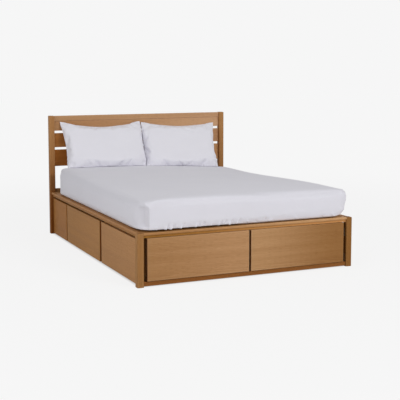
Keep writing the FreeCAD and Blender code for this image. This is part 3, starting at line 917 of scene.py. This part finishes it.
class Woodwork:
    """All the wooden boards and steel parts of the frame and its drawers, which keep their solids."""

    turned_boards: dict[str, Grain] = {"deck_slats": Grain.ACROSS, "panel_battens": Grain.UPRIGHT}
    # Painted light and shade, as multipliers of the oak's colour at each board's two ends: lighter and paler
    # where light falls on the cap rails and the headboard's top, darker in the shade under the cap rails,
    # behind the pillows and low on the left head post, and falling off across the foot end and along the side
    painted_light_and_shade: dict[str, tuple[Triple, Triple]] = {
        "foot_drawer_left_front": ((1.0, 1.03, 1.06), (1.2, 1.3, 1.5)),
        "foot_drawer_right_front": ((1.16, 1.28, 1.45), (0.75, 0.7, 0.57)),
        "foot_post_left": ((0.91, 0.89, 0.78), (0.93, 0.91, 0.8)),
        "foot_post_right": ((0.68, 0.6, 0.41), (0.68, 0.6, 0.41)),
        "foot_cap_rail": ((1.12, 1.08, 0.98), (1.56, 1.74, 1.95)),
        "foot_sub_rail": ((0.94, 0.84, 0.42), (1.62, 1.56, 1.34)),
        "foot_bottom_rail": ((0.68, 0.52, 0.34), (0.72, 0.58, 0.4)),
        "side_foot_panel": ((1.18, 1.19, 1.18), (1.14, 1.14, 1.1)),
        "side_drawer": ((1.1, 1.06, 0.88), (1.02, 0.96, 0.72)),
        "side_head_panel": ((0.98, 0.84, 0.6), (0.94, 0.8, 0.55)),
        "side_cap_rail": ((1.0, 0.95, 0.88), (1.0, 0.95, 0.88)),
        "side_sub_rail": ((0.86, 0.78, 0.6), (0.86, 0.78, 0.6)),
        "headboard_top_rail": ((1.3, 1.44, 1.75), (1.42, 1.6, 2.1)),
        "headboard_upper_slat": ((1.22, 1.26, 1.4), (1.6, 1.88, 2.55)),
        "headboard_middle_slat": ((0.92, 0.72, 0.46), (1.3, 1.38, 1.7)),
        "headboard_lower_slat": ((0.9, 0.62, 0.3), (1.36, 1.38, 1.45)),
        "head_post_left": ((0.5, 0.31, 0.12), (1.02, 1.0, 0.94)),
        "head_post_right": ((0.8, 0.68, 0.5), (1.0, 0.97, 0.88)),
    }

    def painted_light_and_shade_of(self, node: str) -> tuple[Triple, Triple] | None:
        """The painted light and shade of an outside board, by the start of its name."""
        return next((ends for start, ends in self.painted_light_and_shade.items() if node.startswith(start)), None)

    def dress(self) -> None:
        """Give each board its own grain, and the steel its plating."""
        slots = {part["node"]: part["material_slot"] for part in frame["record"]["subparts"]}
        steels = {slot: finish.material() for slot, finish in STEELS.items()}
        for node, piece in frame["nodes"].items():
            slot = slots[node]
            if slot in WOODS:
                wood = WOODS[slot]
                # The painted light and shade, for oak boards only
                painted_shading_ends = self.painted_light_and_shade_of(node) if wood is OAK else None
                dress(piece, wood.material(Board.from_node(node, self.turned_boards.get(node), painted_shading_ends)))
            elif slot in steels:
                dress(piece, steels[slot])
            else:
                continue
            LOG.info("dressed %s", node)


@dataclass(frozen=True)
class Corners:
    """The radii of a block's four upright edges, and of its top and bottom edges."""

    foot_left: float
    foot_right: float
    head_left: float
    head_right: float
    shoulder: float
    foot: float

    def at(self, side: float, end: float) -> float:
        """Find the radius of an upright edge.

        Args:
            side: less than zero on the left.
            end: less than zero at the foot.

        Returns:
            The radius.
        """
        if end < 0.0:
            return self.foot_left if side < 0.0 else self.foot_right
        return self.head_left if side < 0.0 else self.head_right


def rounded(shape: Shape, edges: list[bmesh.types.BMEdge], radius: float, segments: int) -> None:
    """Round off some edges of a bmesh.

    Args:
        shape: the bmesh.
        edges: the edges.
        radius: how far the rounding reaches.
        segments: how many faces it has.
    """
    bmesh.ops.bevel(
        shape, geom=edges, offset=radius, affect="EDGES", segments=segments, profile=0.5, material=-1
    )


def soft_block(low: Vector, high: Vector, corners: Corners) -> Shape:
    """Make a block with rounded corners, a rounded top edge and a rounded bottom edge.

    Args:
        low: its lowest corner.
        high: its highest corner.
        corners: its radii.

    Returns:
        The block's bmesh.
    """
    shape = bmesh.new()
    middle, half = (low + high) / 2, (high - low) / 2
    bmesh.ops.create_cube(shape, size=1.0)
    bmesh.ops.scale(shape, vec=high - low, verts=shape.verts)
    bmesh.ops.translate(shape, vec=middle, verts=shape.verts)
    for side, end in CORNER_SIGNS:
        upright = [
            edge
            for edge in shape.edges
            if all(
                (vert.co.x - middle.x) * side > half.x - NEAR and (vert.co.y - middle.y) * end > half.y - NEAR
                for vert in edge.verts
            )
        ]
        rounded(shape, upright, corners.at(side, end), segments=8)
    for level, radius in ((high.z, corners.shoulder), (low.z, corners.foot)):
        rim = [edge for edge in shape.edges if all(abs(vert.co.z - level) < NEAR for vert in edge.verts)]
        rounded(shape, rim, radius, segments=6)
    return shape


@dataclass(frozen=True)
class Crease:
    """A fold in cloth that runs between two points, raised or sunk, and fades towards its ends."""

    start: Triple
    end: Triple
    width: float
    height: float
    fade: float = 0.12

    def moved(self, by: Triple) -> "Crease":
        """The same fold somewhere else."""
        start, end = (tuple(np.add(point, by)) for point in (self.start, self.end))
        return replace(self, start=start, end=end)

    def lift(self, points: Rows) -> Rows:
        """Work out how far each point is lifted by the fold.

        Args:
            points: the cloth's points, one row each.

        Returns:
            The lift of each point, less than zero where the fold is sunk.
        """
        first, last = np.array(self.start), np.array(self.end)
        run = last - first
        share = np.clip(((points - first) @ run) / (run @ run), 0.0, 1.0)
        gap = np.linalg.norm(points - (first + share[:, None] * run), axis=1)
        taper = np.sin(np.pi * (self.fade + (1.0 - 2.0 * self.fade) * share))
        return self.height * taper * np.exp(-((gap / self.width) ** 2))


@dataclass(frozen=True)
class Tuck:
    """The fold at a fitted sheet's corner, where the cloth of the end lies over that of the side.

    The bands near the top are given by the depths below it at which they start and end.
    """

    hub: Vector
    side: float
    end: float
    radius: float
    low: float
    high: float
    turn: float
    lean: float = math.radians(30.0)
    lean_band: Span = (0.055, 0.006)
    depth: float = 0.034
    reach: float = 0.15
    sunk_band: Span = (0.06, 0.01)
    lip: float = 0.006
    lip_width: float = 0.007
    lip_shift: float = 0.006
    lip_band: Span = (0.014, -0.002)
    hem_band: Span = (0.004, 0.06)
    corner_band: Span = (0.2, 0.6)

    def near_top(self, level: Rows, band: Span) -> Rows:
        """A rise from 0 to 1 over a band near the top."""
        return rise(level, self.high - band[0], self.high - band[1])

    def lift(self, points: Rows) -> Rows:
        """Work out how far each point is lifted by the fold.

        Args:
            points: the cloth's points, one row each.

        Returns:
            The lift of each point, less than zero where the fold is sunk.
        """
        x, y, level = points.T
        out, on = self.side * (x - self.hub.x), self.end * (y - self.hub.y)
        angle = np.arctan2(on.clip(0.0), out.clip(1e-6))
        run = self.radius * angle + np.minimum(on, 0.0) + np.maximum(-out, 0.0)
        past = self.radius * (self.turn - self.lean * self.near_top(level, self.lean_band)) - run
        share = (past / self.reach).clip(0.0, 1.0)
        # The cubic's highest value, at a third of the reach, is 4/27
        sunk = 27.0 / 4.0 * share * (1.0 - share) ** 2 * (1.0 - self.near_top(level, self.sunk_band))
        ridge = np.exp(-(((past + self.lip_shift) / self.lip_width) ** 2)) * rise(level, self.low, self.high)
        upper = 1.0 - self.near_top(level, self.lip_band)
        lower = rise(level - self.low, *self.hem_band)
        outer = rise(np.maximum(out, on) / self.radius, *self.corner_band)
        return (self.lip * ridge * upper - self.depth * sunk) * lower * outer


@dataclass(frozen=True)
class Gathers:
    """Small puckers above a sheet's hem, raised and sunk, at random places round it."""

    count: int = 60
    seed: int = 11
    end_share: float = 0.5
    foot_share: float = 0.6
    raised_share: float = 0.5
    spread: float = 0.9
    slant: float = 0.03
    start: float = 0.008
    tall: Span = (0.018, 0.045)
    height: Span = (0.004, 0.0075)
    width: Span = (0.006, 0.011)

    def creases(self, middle: Vector, half: Vector, low: float) -> Iterator[Crease]:
        """Spread the puckers round a block.

        Args:
            middle: the block's middle.
            half: half the block's size.
            low: the level of the hem.

        Yields:
            Each pucker.
        """
        generator = np.random.default_rng(self.seed)
        for _ in range(self.count):
            along_end = generator.random() < self.end_share
            far = -1.0 if generator.random() < self.foot_share else 1.0
            share = generator.uniform(-self.spread, self.spread)
            slant = generator.uniform(-self.slant, self.slant)
            tall = generator.uniform(*self.tall)
            height = generator.uniform(*self.height)
            height *= 1.0 if generator.random() < self.raised_share else -1.0
            width = generator.uniform(*self.width)
            if along_end:
                place = (middle.x + share * half.x, middle.y + far * half.y)
                tip = (place[0] + slant, place[1])
            else:
                place = (middle.x + far * half.x, middle.y + share * half.y)
                tip = (place[0], place[1] + slant)
            yield Crease((*place, low + self.start), (*tip, low + tall), width, height)


# A gather above the hem at the foot, from the place that it hangs at: a ridge and the hollow beside it
FOOT_GATHER = (
    Crease((0.0, 0.0, 0.004), (0.01, 0.0, 0.03), 0.009, 0.0115),
    Crease((0.02, 0.0, 0.012), (0.032, 0.0, 0.05), 0.009, -0.006),
)
# Where the sheet is drawn in under its right corner at the foot, from that corner
FOOT_PINCH = Crease((-0.015, 0.015, -0.03), (-0.015, 0.015, 0.05), 0.05, -0.03)


@dataclass
class FittedSheet:
    """The fitted sheet, drawn over the mattress and held under it by its hem.

    Spans of the top's crown and tilt run from -1 to 1 over the bed's width or length.
    """

    corners: Corners = Corners(0.08, 0.05, 0.1, 0.06, shoulder=0.042, foot=0.024)
    puff: float = 0.0105
    hem: float = 0.05
    voxel: float = 0.016
    thickness: float = 0.0012
    run: ClothRun = ClothRun(frames=16, pressure=0.6, tension=25.0, bending=1.0, cap=0.007, slack=0.03)
    crown: float = 0.02
    foot_crown: float = 0.018
    foot_crown_start: Span = (-0.98, -0.75)
    foot_crown_end: Span = (-0.3, 0.35)
    foot_crown_run: Span = (-0.98, -0.4)
    left_tilt: float = 0.022
    left_tilt_run: Span = (-0.45, 0.75)
    right_tilt: float = 0.037
    right_tilt_run: Span = (-0.7, 0.55)
    tilt_start: float = 0.06
    held_level: float = 0.006
    held_inset: float = 0.06
    slack_share: float = 0.15
    corner_slack: float = 0.55
    corner_reach: Span = (0.12, 0.42)
    low_slack: float = 0.4
    fine_start: float = 0.002
    fine_margin: float = 0.012
    foot_fine: Span = (0.055, 0.03)
    left_turn: float = math.radians(76.0)
    right_turn: float = math.radians(20.0)
    foot_gathers: tuple[float, ...] = (-0.63, -0.59, -0.52, -0.41, -0.37, -0.24, -0.21, -0.16, -0.1)
    gathers: Gathers = Gathers()
    edge_reach: float = 0.07
    foot_edge: float = 0.009
    foot_edge_width: float = 0.02
    foot_edge_ends: Span = (0.1, 0.04)
    foot_edge_fade: Span = (-0.1, 0.5)
    foot_edge_fall: float = 1.6
    undercut: float = 0.015
    undercut_band: Span = (0.005, 0.016)
    undercut_reach: Span = (0.05, 0.2)
    undercut_fade: Span = (-0.55, 0.1)
    undercut_fall: float = 0.75

    def __post_init__(self) -> None:
        """Find the block of space that the cloth covers."""
        self.base, self.top = (Vector(corner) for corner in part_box("fitted_sheet"))
        self.top.z += self.puff
        self.middle, self.half = (self.base + self.top) / 2, (self.top - self.base) / 2

    def build(self) -> Piece:
        """Build the sheet over the mattress.

        Returns:
            The sheet.
        """
        piece = self.piece = as_object("fitted_sheet_cloth", soft_block(self.base, self.top, self.corners))
        even_out(piece, self.voxel)
        self.open_below()
        self.settle()
        self.refine_sides()
        self.shape()
        dress(piece, SHEET_COTTON.material())
        skin = piece.modifiers.new("cloth", "SOLIDIFY")
        skin.thickness = self.thickness
        skin.offset = -1.0
        stand_in(piece, "fitted_sheet")
        self.surface = BVHTree.FromObject(piece, bpy.context.evaluated_depsgraph_get())
        return piece

    def surface_at(self, points: Rows) -> Rows:
        """Find how high the cloth lies under each point.

        Args:
            points: the points, one row each.

        Returns:
            The height of the cloth, or of its hem for points beside the bed.
        """
        heights = np.full(len(points), self.base.z)
        for index, (x, y, _) in enumerate(points):
            hit = self.surface.ray_cast(Vector((x, y, 1.0)), Vector((0.0, 0.0, -1.0)))[0]
            if hit is not None:
                heights[index] = hit.z
        return heights

    def height_at(self, points: Rows) -> Rows:
        """Work out how high the top is drawn, but for its rounded edge.

        Args:
            points: the points, one row each.

        Returns:
            The height over or under each point.
        """
        across = (points[:, 0] - self.middle.x) / self.half.x
        along = (points[:, 1] - self.middle.y) / self.half.y
        dome = (1.0 - across**2).clip(0.0) * (1.0 - along**10).clip(0.0)
        left = across.clip(-1.0, 0.0) * rise(along, *self.left_tilt_run)
        right = across.clip(0.0, 1.0) * rise(along, *self.right_tilt_run)
        foot_dome = rise(across, *self.foot_crown_start) * (1.0 - rise(across, *self.foot_crown_end))
        foot_dome = foot_dome * (1.0 - rise(along, *self.foot_crown_run))
        crown = np.maximum(self.crown * dome, self.foot_crown * foot_dome)
        return self.top.z + crown - self.left_tilt * left - self.right_tilt * right

    def open_below(self) -> None:
        """Cut the cloth away under the mattress, but for the hem."""
        reach = self.half - Vector((1.0, 1.0, 0.0)) * (self.corners.foot + self.hem)
        with edited(self.piece) as shape:
            below = [
                face
                for face in shape.faces
                if face.normal.z < -0.9
                and abs(face.calc_center_median().x - self.middle.x) < reach.x
                and abs(face.calc_center_median().y - self.middle.y) < reach.y
            ]
            bmesh.ops.delete(shape, geom=below, context="FACES")

    def settle(self) -> None:
        """Let the spare cloth at the corners and above the hem fall into folds."""
        points = points_of(self.piece.data)
        low, high = points.min(axis=0), points.max(axis=0)
        side_gap, end_gap, _ = np.minimum(points - low, high - points).T
        pinned = self.piece.vertex_groups.new(name="held")
        inside = np.minimum(side_gap, end_gap) > self.held_inset
        held = (points[:, 2] < low[2] + self.held_level) | inside
        pinned.add([int(index) for index in np.nonzero(held)[0]], 1.0, "REPLACE")
        loose = self.piece.vertex_groups.new(name="loose")
        near_corner = 1.0 - rise(np.hypot(side_gap, end_gap), *self.corner_reach)
        down = 1.0 - rise(points[:, 2], low[2] + 0.04, high[2] - 0.03)
        weights = self.slack_share + self.corner_slack * near_corner + self.low_slack * down
        for index, weight in enumerate(np.clip(weights, 0.0, 1.0)):
            loose.add([index], float(weight), "REPLACE")
        self.run.settle(self.piece, "loose", "held")
        self.piece.vertex_groups.clear()

    def refine_sides(self) -> None:
        """Halve the faces of the sides, where the small folds are, and again above the hem at the foot."""
        level = self.base.z + self.fine_start
        tall, deep = self.foot_fine

        def on_side(place: Vector) -> bool:
            """Whether a place is on the sheet's sides, or on its rounded edge at the foot."""
            at_foot = place.y < self.base.y + self.edge_reach
            return place.z > level and (place.z < self.top.z - self.fine_margin or at_foot)

        def on_foot_hem(place: Vector) -> bool:
            """Whether a place is just above the hem at the foot."""
            return level < place.z < level + tall and place.y < self.base.y + deep

        with edited(self.piece) as shape:
            for wanted in (on_side, on_foot_hem):
                edges = [edge for edge in shape.edges if all(wanted(vert.co) for vert in edge.verts)]
                bmesh.ops.subdivide_edges(shape, edges=edges, cuts=1, use_grid_fill=True, smooth=0.0)

    def folds(self) -> Iterator[Crease | Tuck]:
        """Find the folds that show: a tuck at each corner, and the gathers above the hem.

        Yields:
            Each fold.
        """
        low, high = self.base.z, self.top.z
        for side, end in CORNER_SIGNS:
            out = self.corners.at(side, end)
            hub = Vector(
                (self.middle.x + side * (self.half.x - out), self.middle.y + end * (self.half.y - out))
            )
            turn = self.right_turn if side > 0 else self.left_turn
            yield Tuck(hub, side, end, out, low, high, turn)
        yield FOOT_PINCH.moved((self.top.x, self.base.y, low))
        for place in self.foot_gathers:
            for crease in FOOT_GATHER:
                yield crease.moved((place, self.base.y, low))
        yield from self.gathers.creases(self.middle, self.half, low)

    def edge_lift(self, points: Rows, across: Rows) -> Rows:
        """Work out how far the top edge at the foot stands out, where it is crisp.

        Args:
            points: the cloth's points, one row each.
            across: how far each is to the right of the sheet's middle.

        Returns:
            The lift of each point.
        """
        drawn = self.corners.shoulder * (1.0 - math.sqrt(0.5))
        gap = np.hypot(points[:, 1] - self.base.y - drawn, points[:, 2] - self.top.z + drawn)
        start, end = self.foot_edge_ends
        between = 1.0 - rise(np.abs(across), self.top.x - start, self.top.x - end)
        crisp = between * (1.0 - self.foot_edge_fall * rise(across, *self.foot_edge_fade))
        return self.foot_edge * crisp * np.exp(-((gap / self.foot_edge_width) ** 2))

    def undercut_at(self, points: Rows, across: Rows) -> Rows:
        """Work out how far the cloth is drawn in just above the hem at the foot.

        Args:
            points: the cloth's points, one row each.
            across: how far each is to the right of the sheet's middle.

        Returns:
            The depth at each point.
        """
        below = 1.0 - rise(points[:, 2] - self.base.z, *self.undercut_band)
        at_foot = 1.0 - rise(points[:, 1] - self.base.y, *self.undercut_reach)
        fade = 1.0 - self.undercut_fall * rise(across, *self.undercut_fade)
        return self.undercut * at_foot * fade * below

    def shape(self) -> None:
        """Press in the folds that show, and crown the top."""
        points = points_of(self.piece.data)
        normals = normals_of(self.piece.data)
        across = points[:, 0] - self.middle.x
        points += normals * self.edge_lift(points, across)[:, None]
        points -= normals * self.undercut_at(points, across)[:, None]
        for fold in self.folds():
            points += normals * fold.lift(points)[:, None]
        over = self.height_at(points) - self.top.z
        points[:, 2] += over * rise(points[:, 2], self.base.z + self.tilt_start, self.top.z)
        points[:, 2] = np.maximum(points[:, 2], self.base.z)
        set_points(self.piece.data, points)


@dataclass
class Mattress:
    """The foam mattress inside the fitted sheet, with a taped edge at its top and foot."""

    sheet: FittedSheet
    corners: Corners = Corners(0.12, 0.08, 0.12, 0.09, shoulder=0.04, foot=0.045)
    tape: float = 0.006
    tape_width: float = 0.012
    tape_inset: float = 0.03
    inset: float = 0.015
    under: float = 0.012
    voxel: float = 0.016

    def build(self) -> Piece:
        """Build the mattress inside the space of its solid.

        Returns:
            The mattress.
        """
        low, high = (Vector(corner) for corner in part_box("mattress"))
        low += Vector((self.inset, self.inset, 0.0))
        high -= Vector((self.inset, self.inset, 0.0))
        piece = as_object("mattress_core", soft_block(low, high, self.corners))
        even_out(piece, self.voxel)
        points = points_of(piece.data)
        for level in (low.z + self.tape_inset, high.z - self.tape_inset):
            bulge = self.tape * np.exp(-(((points[:, 2] - level) / self.tape_width) ** 2))
            points += normals_of(piece.data) * (bulge - self.tape)[:, None] * 0.5
        ceiling = self.sheet.height_at(points) - self.under
        points[:, 2] += (ceiling - high.z) * rise(points[:, 2], low.z + self.sheet.tilt_start, high.z)
        points[:, 2] = np.minimum(points[:, 2], ceiling)
        points[:, 2] = np.maximum(points[:, 2], low.z)
        set_points(piece.data, points)
        dress(piece, TICKING.material())
        stand_in(piece, "mattress")
        return piece


# The creases of each pillow's face, from its middle
LEFT_TUGS = (
    Crease((0.2, 0.0, 0.19), (0.27, 0.0, 0.13), 0.011, -0.011),
    Crease((0.25, 0.0, 0.2), (0.31, 0.0, 0.14), 0.01, -0.009),
    Crease((0.28, 0.0, 0.21), (0.34, 0.0, 0.17), 0.009, 0.008),
    Crease((-0.3, 0.0, 0.19), (-0.26, 0.0, 0.14), 0.01, -0.006),
)
RIGHT_TUGS = (
    Crease((0.02, 0.0, 0.16), (0.1, 0.0, 0.12), 0.011, -0.011),
    Crease((0.09, 0.0, 0.17), (0.14, 0.0, 0.15), 0.01, -0.008),
    Crease((-0.3, 0.0, 0.19), (-0.2, 0.0, 0.165), 0.01, -0.009),
    Crease((0.28, 0.0, 0.19), (0.25, 0.0, 0.13), 0.01, -0.006),
)


@dataclass
class Pillow:
    """A pillow in its case, which stands on the sheet and leans on the headboard."""

    node: str
    sheet: FittedSheet
    middle: float
    width: float = 0.742
    height: float = 0.456
    thickness: float = 0.165
    start_share: float = 0.62
    face: float = 0.0085
    roll: float = 0.0
    lean: float = math.radians(25.0)
    top_sag: float = 0.045
    sag_power: float = 2.2
    left_draw: float = 0.02
    right_draw: float = 0.02
    left_foot: float = 0.0
    right_foot: float = 0.0
    belly: float = 0.12
    low_fill: float = 0.4
    tugs: tuple[Crease, ...] = ()
    fullness: float = 2.6
    seam_reach: float = 0.014
    seam_degree: int = 6
    press: float = 0.004
    sink: float = 0.022
    cover: float = 0.012
    clearance: float = 0.001
    run: ClothRun = ClothRun(frames=20, pressure=2.0, tension=18.0, bending=0.3, cap=0.04, slack=-0.05)

    def build(self) -> Piece:
        """Build the pillow where its solid stands.

        Returns:
            The pillow.
        """
        piece = self.piece = as_object(f"{self.node}_case", self.stuffed_case())
        flat = points_of(piece.data) * (2.0 / self.width, 1.0, 2.0 / self.height)
        self.settle()
        self.outline(flat[:, 0], flat[:, 2])
        self.place(flat[:, 2] < -0.999)
        round_off = piece.modifiers.new("round", "SUBSURF")
        round_off.levels = 1
        round_off.render_levels = 1
        dress(piece, PILLOW_COTTON.material())
        stand_in(piece, self.node)
        return piece

    def stuffed_case(self) -> Shape:
        """Sew two sheets of cloth together round their edge, with the filling between them.

        Returns:
            The case's bmesh, upright about its middle, with its face towards -Y.
        """
        shape = bmesh.new()
        columns = round(self.width / self.face)
        rows = round(self.height / self.face)
        stand = Matrix.Rotation(math.pi / 2, 4, "X")
        bmesh.ops.create_grid(shape, x_segments=columns, y_segments=rows, size=0.5, matrix=stand)
        back = bmesh.ops.duplicate(shape, geom=shape.faces[:])["geom"]
        back_faces = [item for item in back if isinstance(item, bmesh.types.BMFace)]
        bmesh.ops.reverse_faces(shape, faces=back_faces)
        back_verts = {vert for face in back_faces for vert in face.verts}
        for vert in shape.verts:
            across, up = 2.0 * vert.co.x, 2.0 * vert.co.z
            roof = max(1.0 - abs(across) ** self.fullness, 0.0) * max(1.0 - abs(up) ** self.fullness, 0.0)
            swell = self.start_share * self.thickness / 2 * roof**0.5 * (1.0 - self.belly * up)
            vert.co.y = swell if vert in back_verts else -swell
            vert.co.x *= self.width
            vert.co.z *= self.height
        bmesh.ops.remove_doubles(shape, verts=shape.verts, dist=self.face / 20)
        return shape

    def settle(self) -> None:
        """Gather the cloth along the seam and let the filling press it out."""
        points = points_of(self.piece.data)
        seam = self.piece.vertex_groups.new(name="seam")
        for index in np.nonzero(np.abs(points[:, 1]) < self.seam_reach)[0]:
            seam.add([int(index)], float(1.0 - abs(points[index, 1]) / self.seam_reach), "REPLACE")
        self.run.settle(self.piece, "seam")
        self.piece.vertex_groups.clear()

    def outline(self, across: Rows, up: Rows) -> None:
        """Draw the seam to the outline that the pillow has, and keep its puckers.

        Args:
            across: where each vertex lay across the flat case, from -1 to 1.
            up: how high it lay, from -1 to 1.
        """
        points = points_of(self.piece.data)
        low = (1.0 - up) / 2
        left = self.left_draw * (1.0 - up * up) + self.left_foot * low - self.width / 2
        right = self.width / 2 - self.right_draw * (1.0 - up * up) - self.right_foot * low
        points[:, 0] = self.fitted(points[:, 0], across, up, left, right)
        top = self.height / 2 - self.top_sag * (1.0 - np.abs(across) ** self.sag_power)
        floor = np.full(len(points), -self.height / 2)
        points[:, 2] = self.fitted(points[:, 2], up, across, floor, top)
        points[:, 1] *= self.thickness / np.ptp(points[:, 1]) * (1.0 - self.low_fill * up)
        face = points * (1.0, 0.0, 1.0)
        for tug in self.tugs:
            points[:, 1] -= tug.lift(face) * (points[:, 1] < 0.0)
        set_points(self.piece.data, points)

    def fitted(
        self, values: Rows, over: Rows, line: Rows, low: Rows, high: Rows
    ) -> Rows:
        """Stretch values line by line so that the seam's run comes to two bounds.

        Args:
            values: the places to stretch.
            over: where each vertex lay from one seam to the other, from -1 to 1.
            line: which line each vertex lay on, from -1 to 1.
            low: the bound at the first seam.
            high: the bound at the second seam.

        Returns:
            The stretched places.
        """
        bounds = []
        for seam in (-1.0, 1.0):
            edge = np.abs(over - seam) < 1e-3
            trend = np.polynomial.Polynomial.fit(line[edge], values[edge], self.seam_degree)
            bounds.append(trend(line))
        share = (values - bounds[0]) / (bounds[1] - bounds[0])
        return low + share * (high - low)

    def place(self, bottom: Rows) -> None:
        """Lean the pillow back and stand it on the sheet against the headboard.

        Args:
            bottom: which vertices are on its bottom seam.
        """
        points = points_of(self.piece.data)
        turn = Matrix.Rotation(-self.lean, 3, "X") @ Matrix.Rotation(self.roll, 3, "Y")
        points = points @ np.array(turn).T
        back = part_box(self.node)[1].y
        points[:, 0] += self.middle
        points[:, 1] += back + self.press - points[:, 1].max()
        points[:, 1] = np.minimum(points[:, 1], back)
        ground = np.maximum(self.sheet.surface_at(points), self.sheet.height_at(points) - self.cover)
        points[:, 2] -= (points[bottom, 2] - ground[bottom]).max() + self.sink
        points[:, 2] = np.maximum(points[:, 2], ground + self.clearance)
        set_points(self.piece.data, points)


@dataclass(frozen=True)
class SoftBox:
    """A lamp with a wide white face."""

    name: str
    at: Triple
    to: Triple
    size: Span
    power: float

    def build(self) -> None:
        """Set the lamp up, turned to the point that it lights."""
        light = bpy.data.lights.new(self.name, "AREA")
        light.shape = "RECTANGLE"
        light.size, light.size_y = self.size
        light.energy = self.power
        item = bpy.data.objects.new(self.name, light)
        item.location = self.at
        item.rotation_euler = (Vector(self.to) - Vector(self.at)).to_track_quat("-Z", "Y").to_euler()
        bpy.context.scene.collection.objects.link(item)


@dataclass
class Studio:
    """The floor, the lights and the camera."""

    pale: float = 0.922
    paper: float = 0.86
    glow: float = 0.945
    floor_size: float = 30.0
    shadow_inset: float = 0.06
    glow_reach: Span = (1.8, 6.0)
    near_share: float = 0.9
    far_gain: float = 0.062
    focal_px: float = 920.8
    frame_px: float = 400.0
    centre_px: Span = (200.5, 160.0)
    sensor_mm: float = 36.0
    eye: Triple = (-2.8861, -6.6795, 1.4636)
    yaw: float = 0.4227
    pitch: float = 0.1034
    world_strength: float = 0.4
    lamps: tuple[SoftBox, ...] = (
        SoftBox("key", (3.2, -8.5, 4.8), (0.0, -0.2, 0.45), (3.2, 2.0), 330.0),
        SoftBox("fill", (-5.2, -2.4, 2.2), (0.0, 0.0, 0.4), (3.5, 2.5), 65.0),
        SoftBox("overhead", (0.4, -0.6, 4.2), (0.0, -0.1, 0.4), (4.0, 4.0), 10.0),
    )

    def build(self) -> None:
        """Set the whole studio up."""
        bpy.context.scene.view_settings.view_transform = "Standard"
        self.floor()
        self.world()
        for lamp in self.lamps:
            lamp.build()
        self.camera()

    def floor(self) -> None:
        """Lay a pale floor that keeps the bed's soft shadow."""
        shape = bmesh.new()
        bmesh.ops.create_grid(shape, x_segments=1, y_segments=1, size=self.floor_size)
        piece = as_object("studio_floor", shape)
        material = bpy.data.materials.new("studio_floor")
        material.use_nodes = True
        graph = NodeGraph(material.node_tree)
        graph.tree.nodes.clear()
        paper = graph.add("ShaderNodeBsdfDiffuse", {"Color": opaque(self.paper, self.paper, self.paper)})
        glow = graph.add("ShaderNodeEmission", {"Color": opaque(self.glow, self.glow, self.glow)})
        spot = graph.add("ShaderNodeTexCoord").outputs["Object"]
        away = graph.split(graph.vector("ABSOLUTE", spot))
        beside, beyond = (
            graph.between(gap, edge - self.shadow_inset, edge) for gap, edge in zip(away[:2], CAD_BOX[1][:2])
        )
        reach = graph.between(graph.length(spot), *self.glow_reach)
        far = graph.total((reach, self.far_gain), base=self.near_share)
        clear = graph.math("MULTIPLY", graph.math("MAXIMUM", beside, beyond), far)
        share = graph.math("MULTIPLY", self.seen(graph), clear)
        blend = graph.add("ShaderNodeMixShader", {0: share, 1: paper.outputs[0], 2: glow.outputs[0]})
        graph.add("ShaderNodeOutputMaterial", {0: blend.outputs[0]})
        dress(piece, material)

    def seen(self, graph: NodeGraph) -> Socket:
        """Tell whether a ray comes from the camera, or through gloss or glass.

        Args:
            graph: the node tree that asks.

        Returns:
            One if it does, or else zero.
        """
        path = graph.add("ShaderNodeLightPath").outputs
        shiny = graph.math("MAXIMUM", path["Is Glossy Ray"], path["Is Transmission Ray"])
        return graph.math("MAXIMUM", path["Is Camera Ray"], shiny)

    def world(self) -> None:
        """Give even light from all round, and a pale background."""
        world = bpy.data.worlds.new("studio")
        world.use_nodes = True
        graph = NodeGraph(world.node_tree)
        graph.tree.nodes.clear()
        light = graph.add(
            "ShaderNodeBackground", {"Color": opaque(1.0, 1.0, 1.0), "Strength": self.world_strength}
        )
        paper = graph.add("ShaderNodeBackground", {"Color": opaque(self.pale, self.pale, self.pale)})
        blend = graph.add(
            "ShaderNodeMixShader", {0: self.seen(graph), 1: light.outputs[0], 2: paper.outputs[0]}
        )
        graph.add("ShaderNodeOutputWorld", {0: blend.outputs[0]})
        bpy.context.scene.world = world

    def camera(self) -> None:
        """Set a camera up at the photograph's place and angle."""
        data = bpy.data.cameras.new("camera")
        data.sensor_fit = "HORIZONTAL"
        data.sensor_width = self.sensor_mm
        data.lens = self.focal_px / self.frame_px * self.sensor_mm
        data.shift_x = 0.5 - self.centre_px[0] / self.frame_px
        data.shift_y = self.centre_px[1] / self.frame_px - 0.5
        item = bpy.data.objects.new("camera", data)
        item.location = self.eye
        item.rotation_euler = (math.pi / 2 - self.pitch, 0.0, -self.yaw)
        bpy.context.scene.collection.objects.link(item)
        bpy.context.scene.camera = item


def main() -> None:
    """Build the studio, dress the woodwork and make the bed."""
    logging.basicConfig(level=logging.INFO, format="%(name)s: %(message)s")
    Studio().build()
    Woodwork().dress()
    sheet = FittedSheet()
    bedding = [
        sheet,
        Mattress(sheet),
        Pillow(
            "pillow_left",
            sheet,
            middle=-0.3715,
            roll=math.radians(0.9),
            top_sag=0.054,
            right_draw=-0.002,
            left_foot=0.022,
            right_foot=0.004,
            tugs=LEFT_TUGS,
        ),
        Pillow(
            "pillow_right",
            sheet,
            middle=0.3605,
            width=0.72,
            height=0.465,
            roll=math.radians(1.8),
            top_sag=0.038,
            left_draw=-0.001,
            right_draw=0.025,
            right_foot=0.02,
            tugs=RIGHT_TUGS,
        ),
    ]
    for item in bedding:
        piece = item.build()
        LOG.info("built %s with %d faces", piece.name, len(piece.data.polygons))


if __name__ == "__main__":
    main()
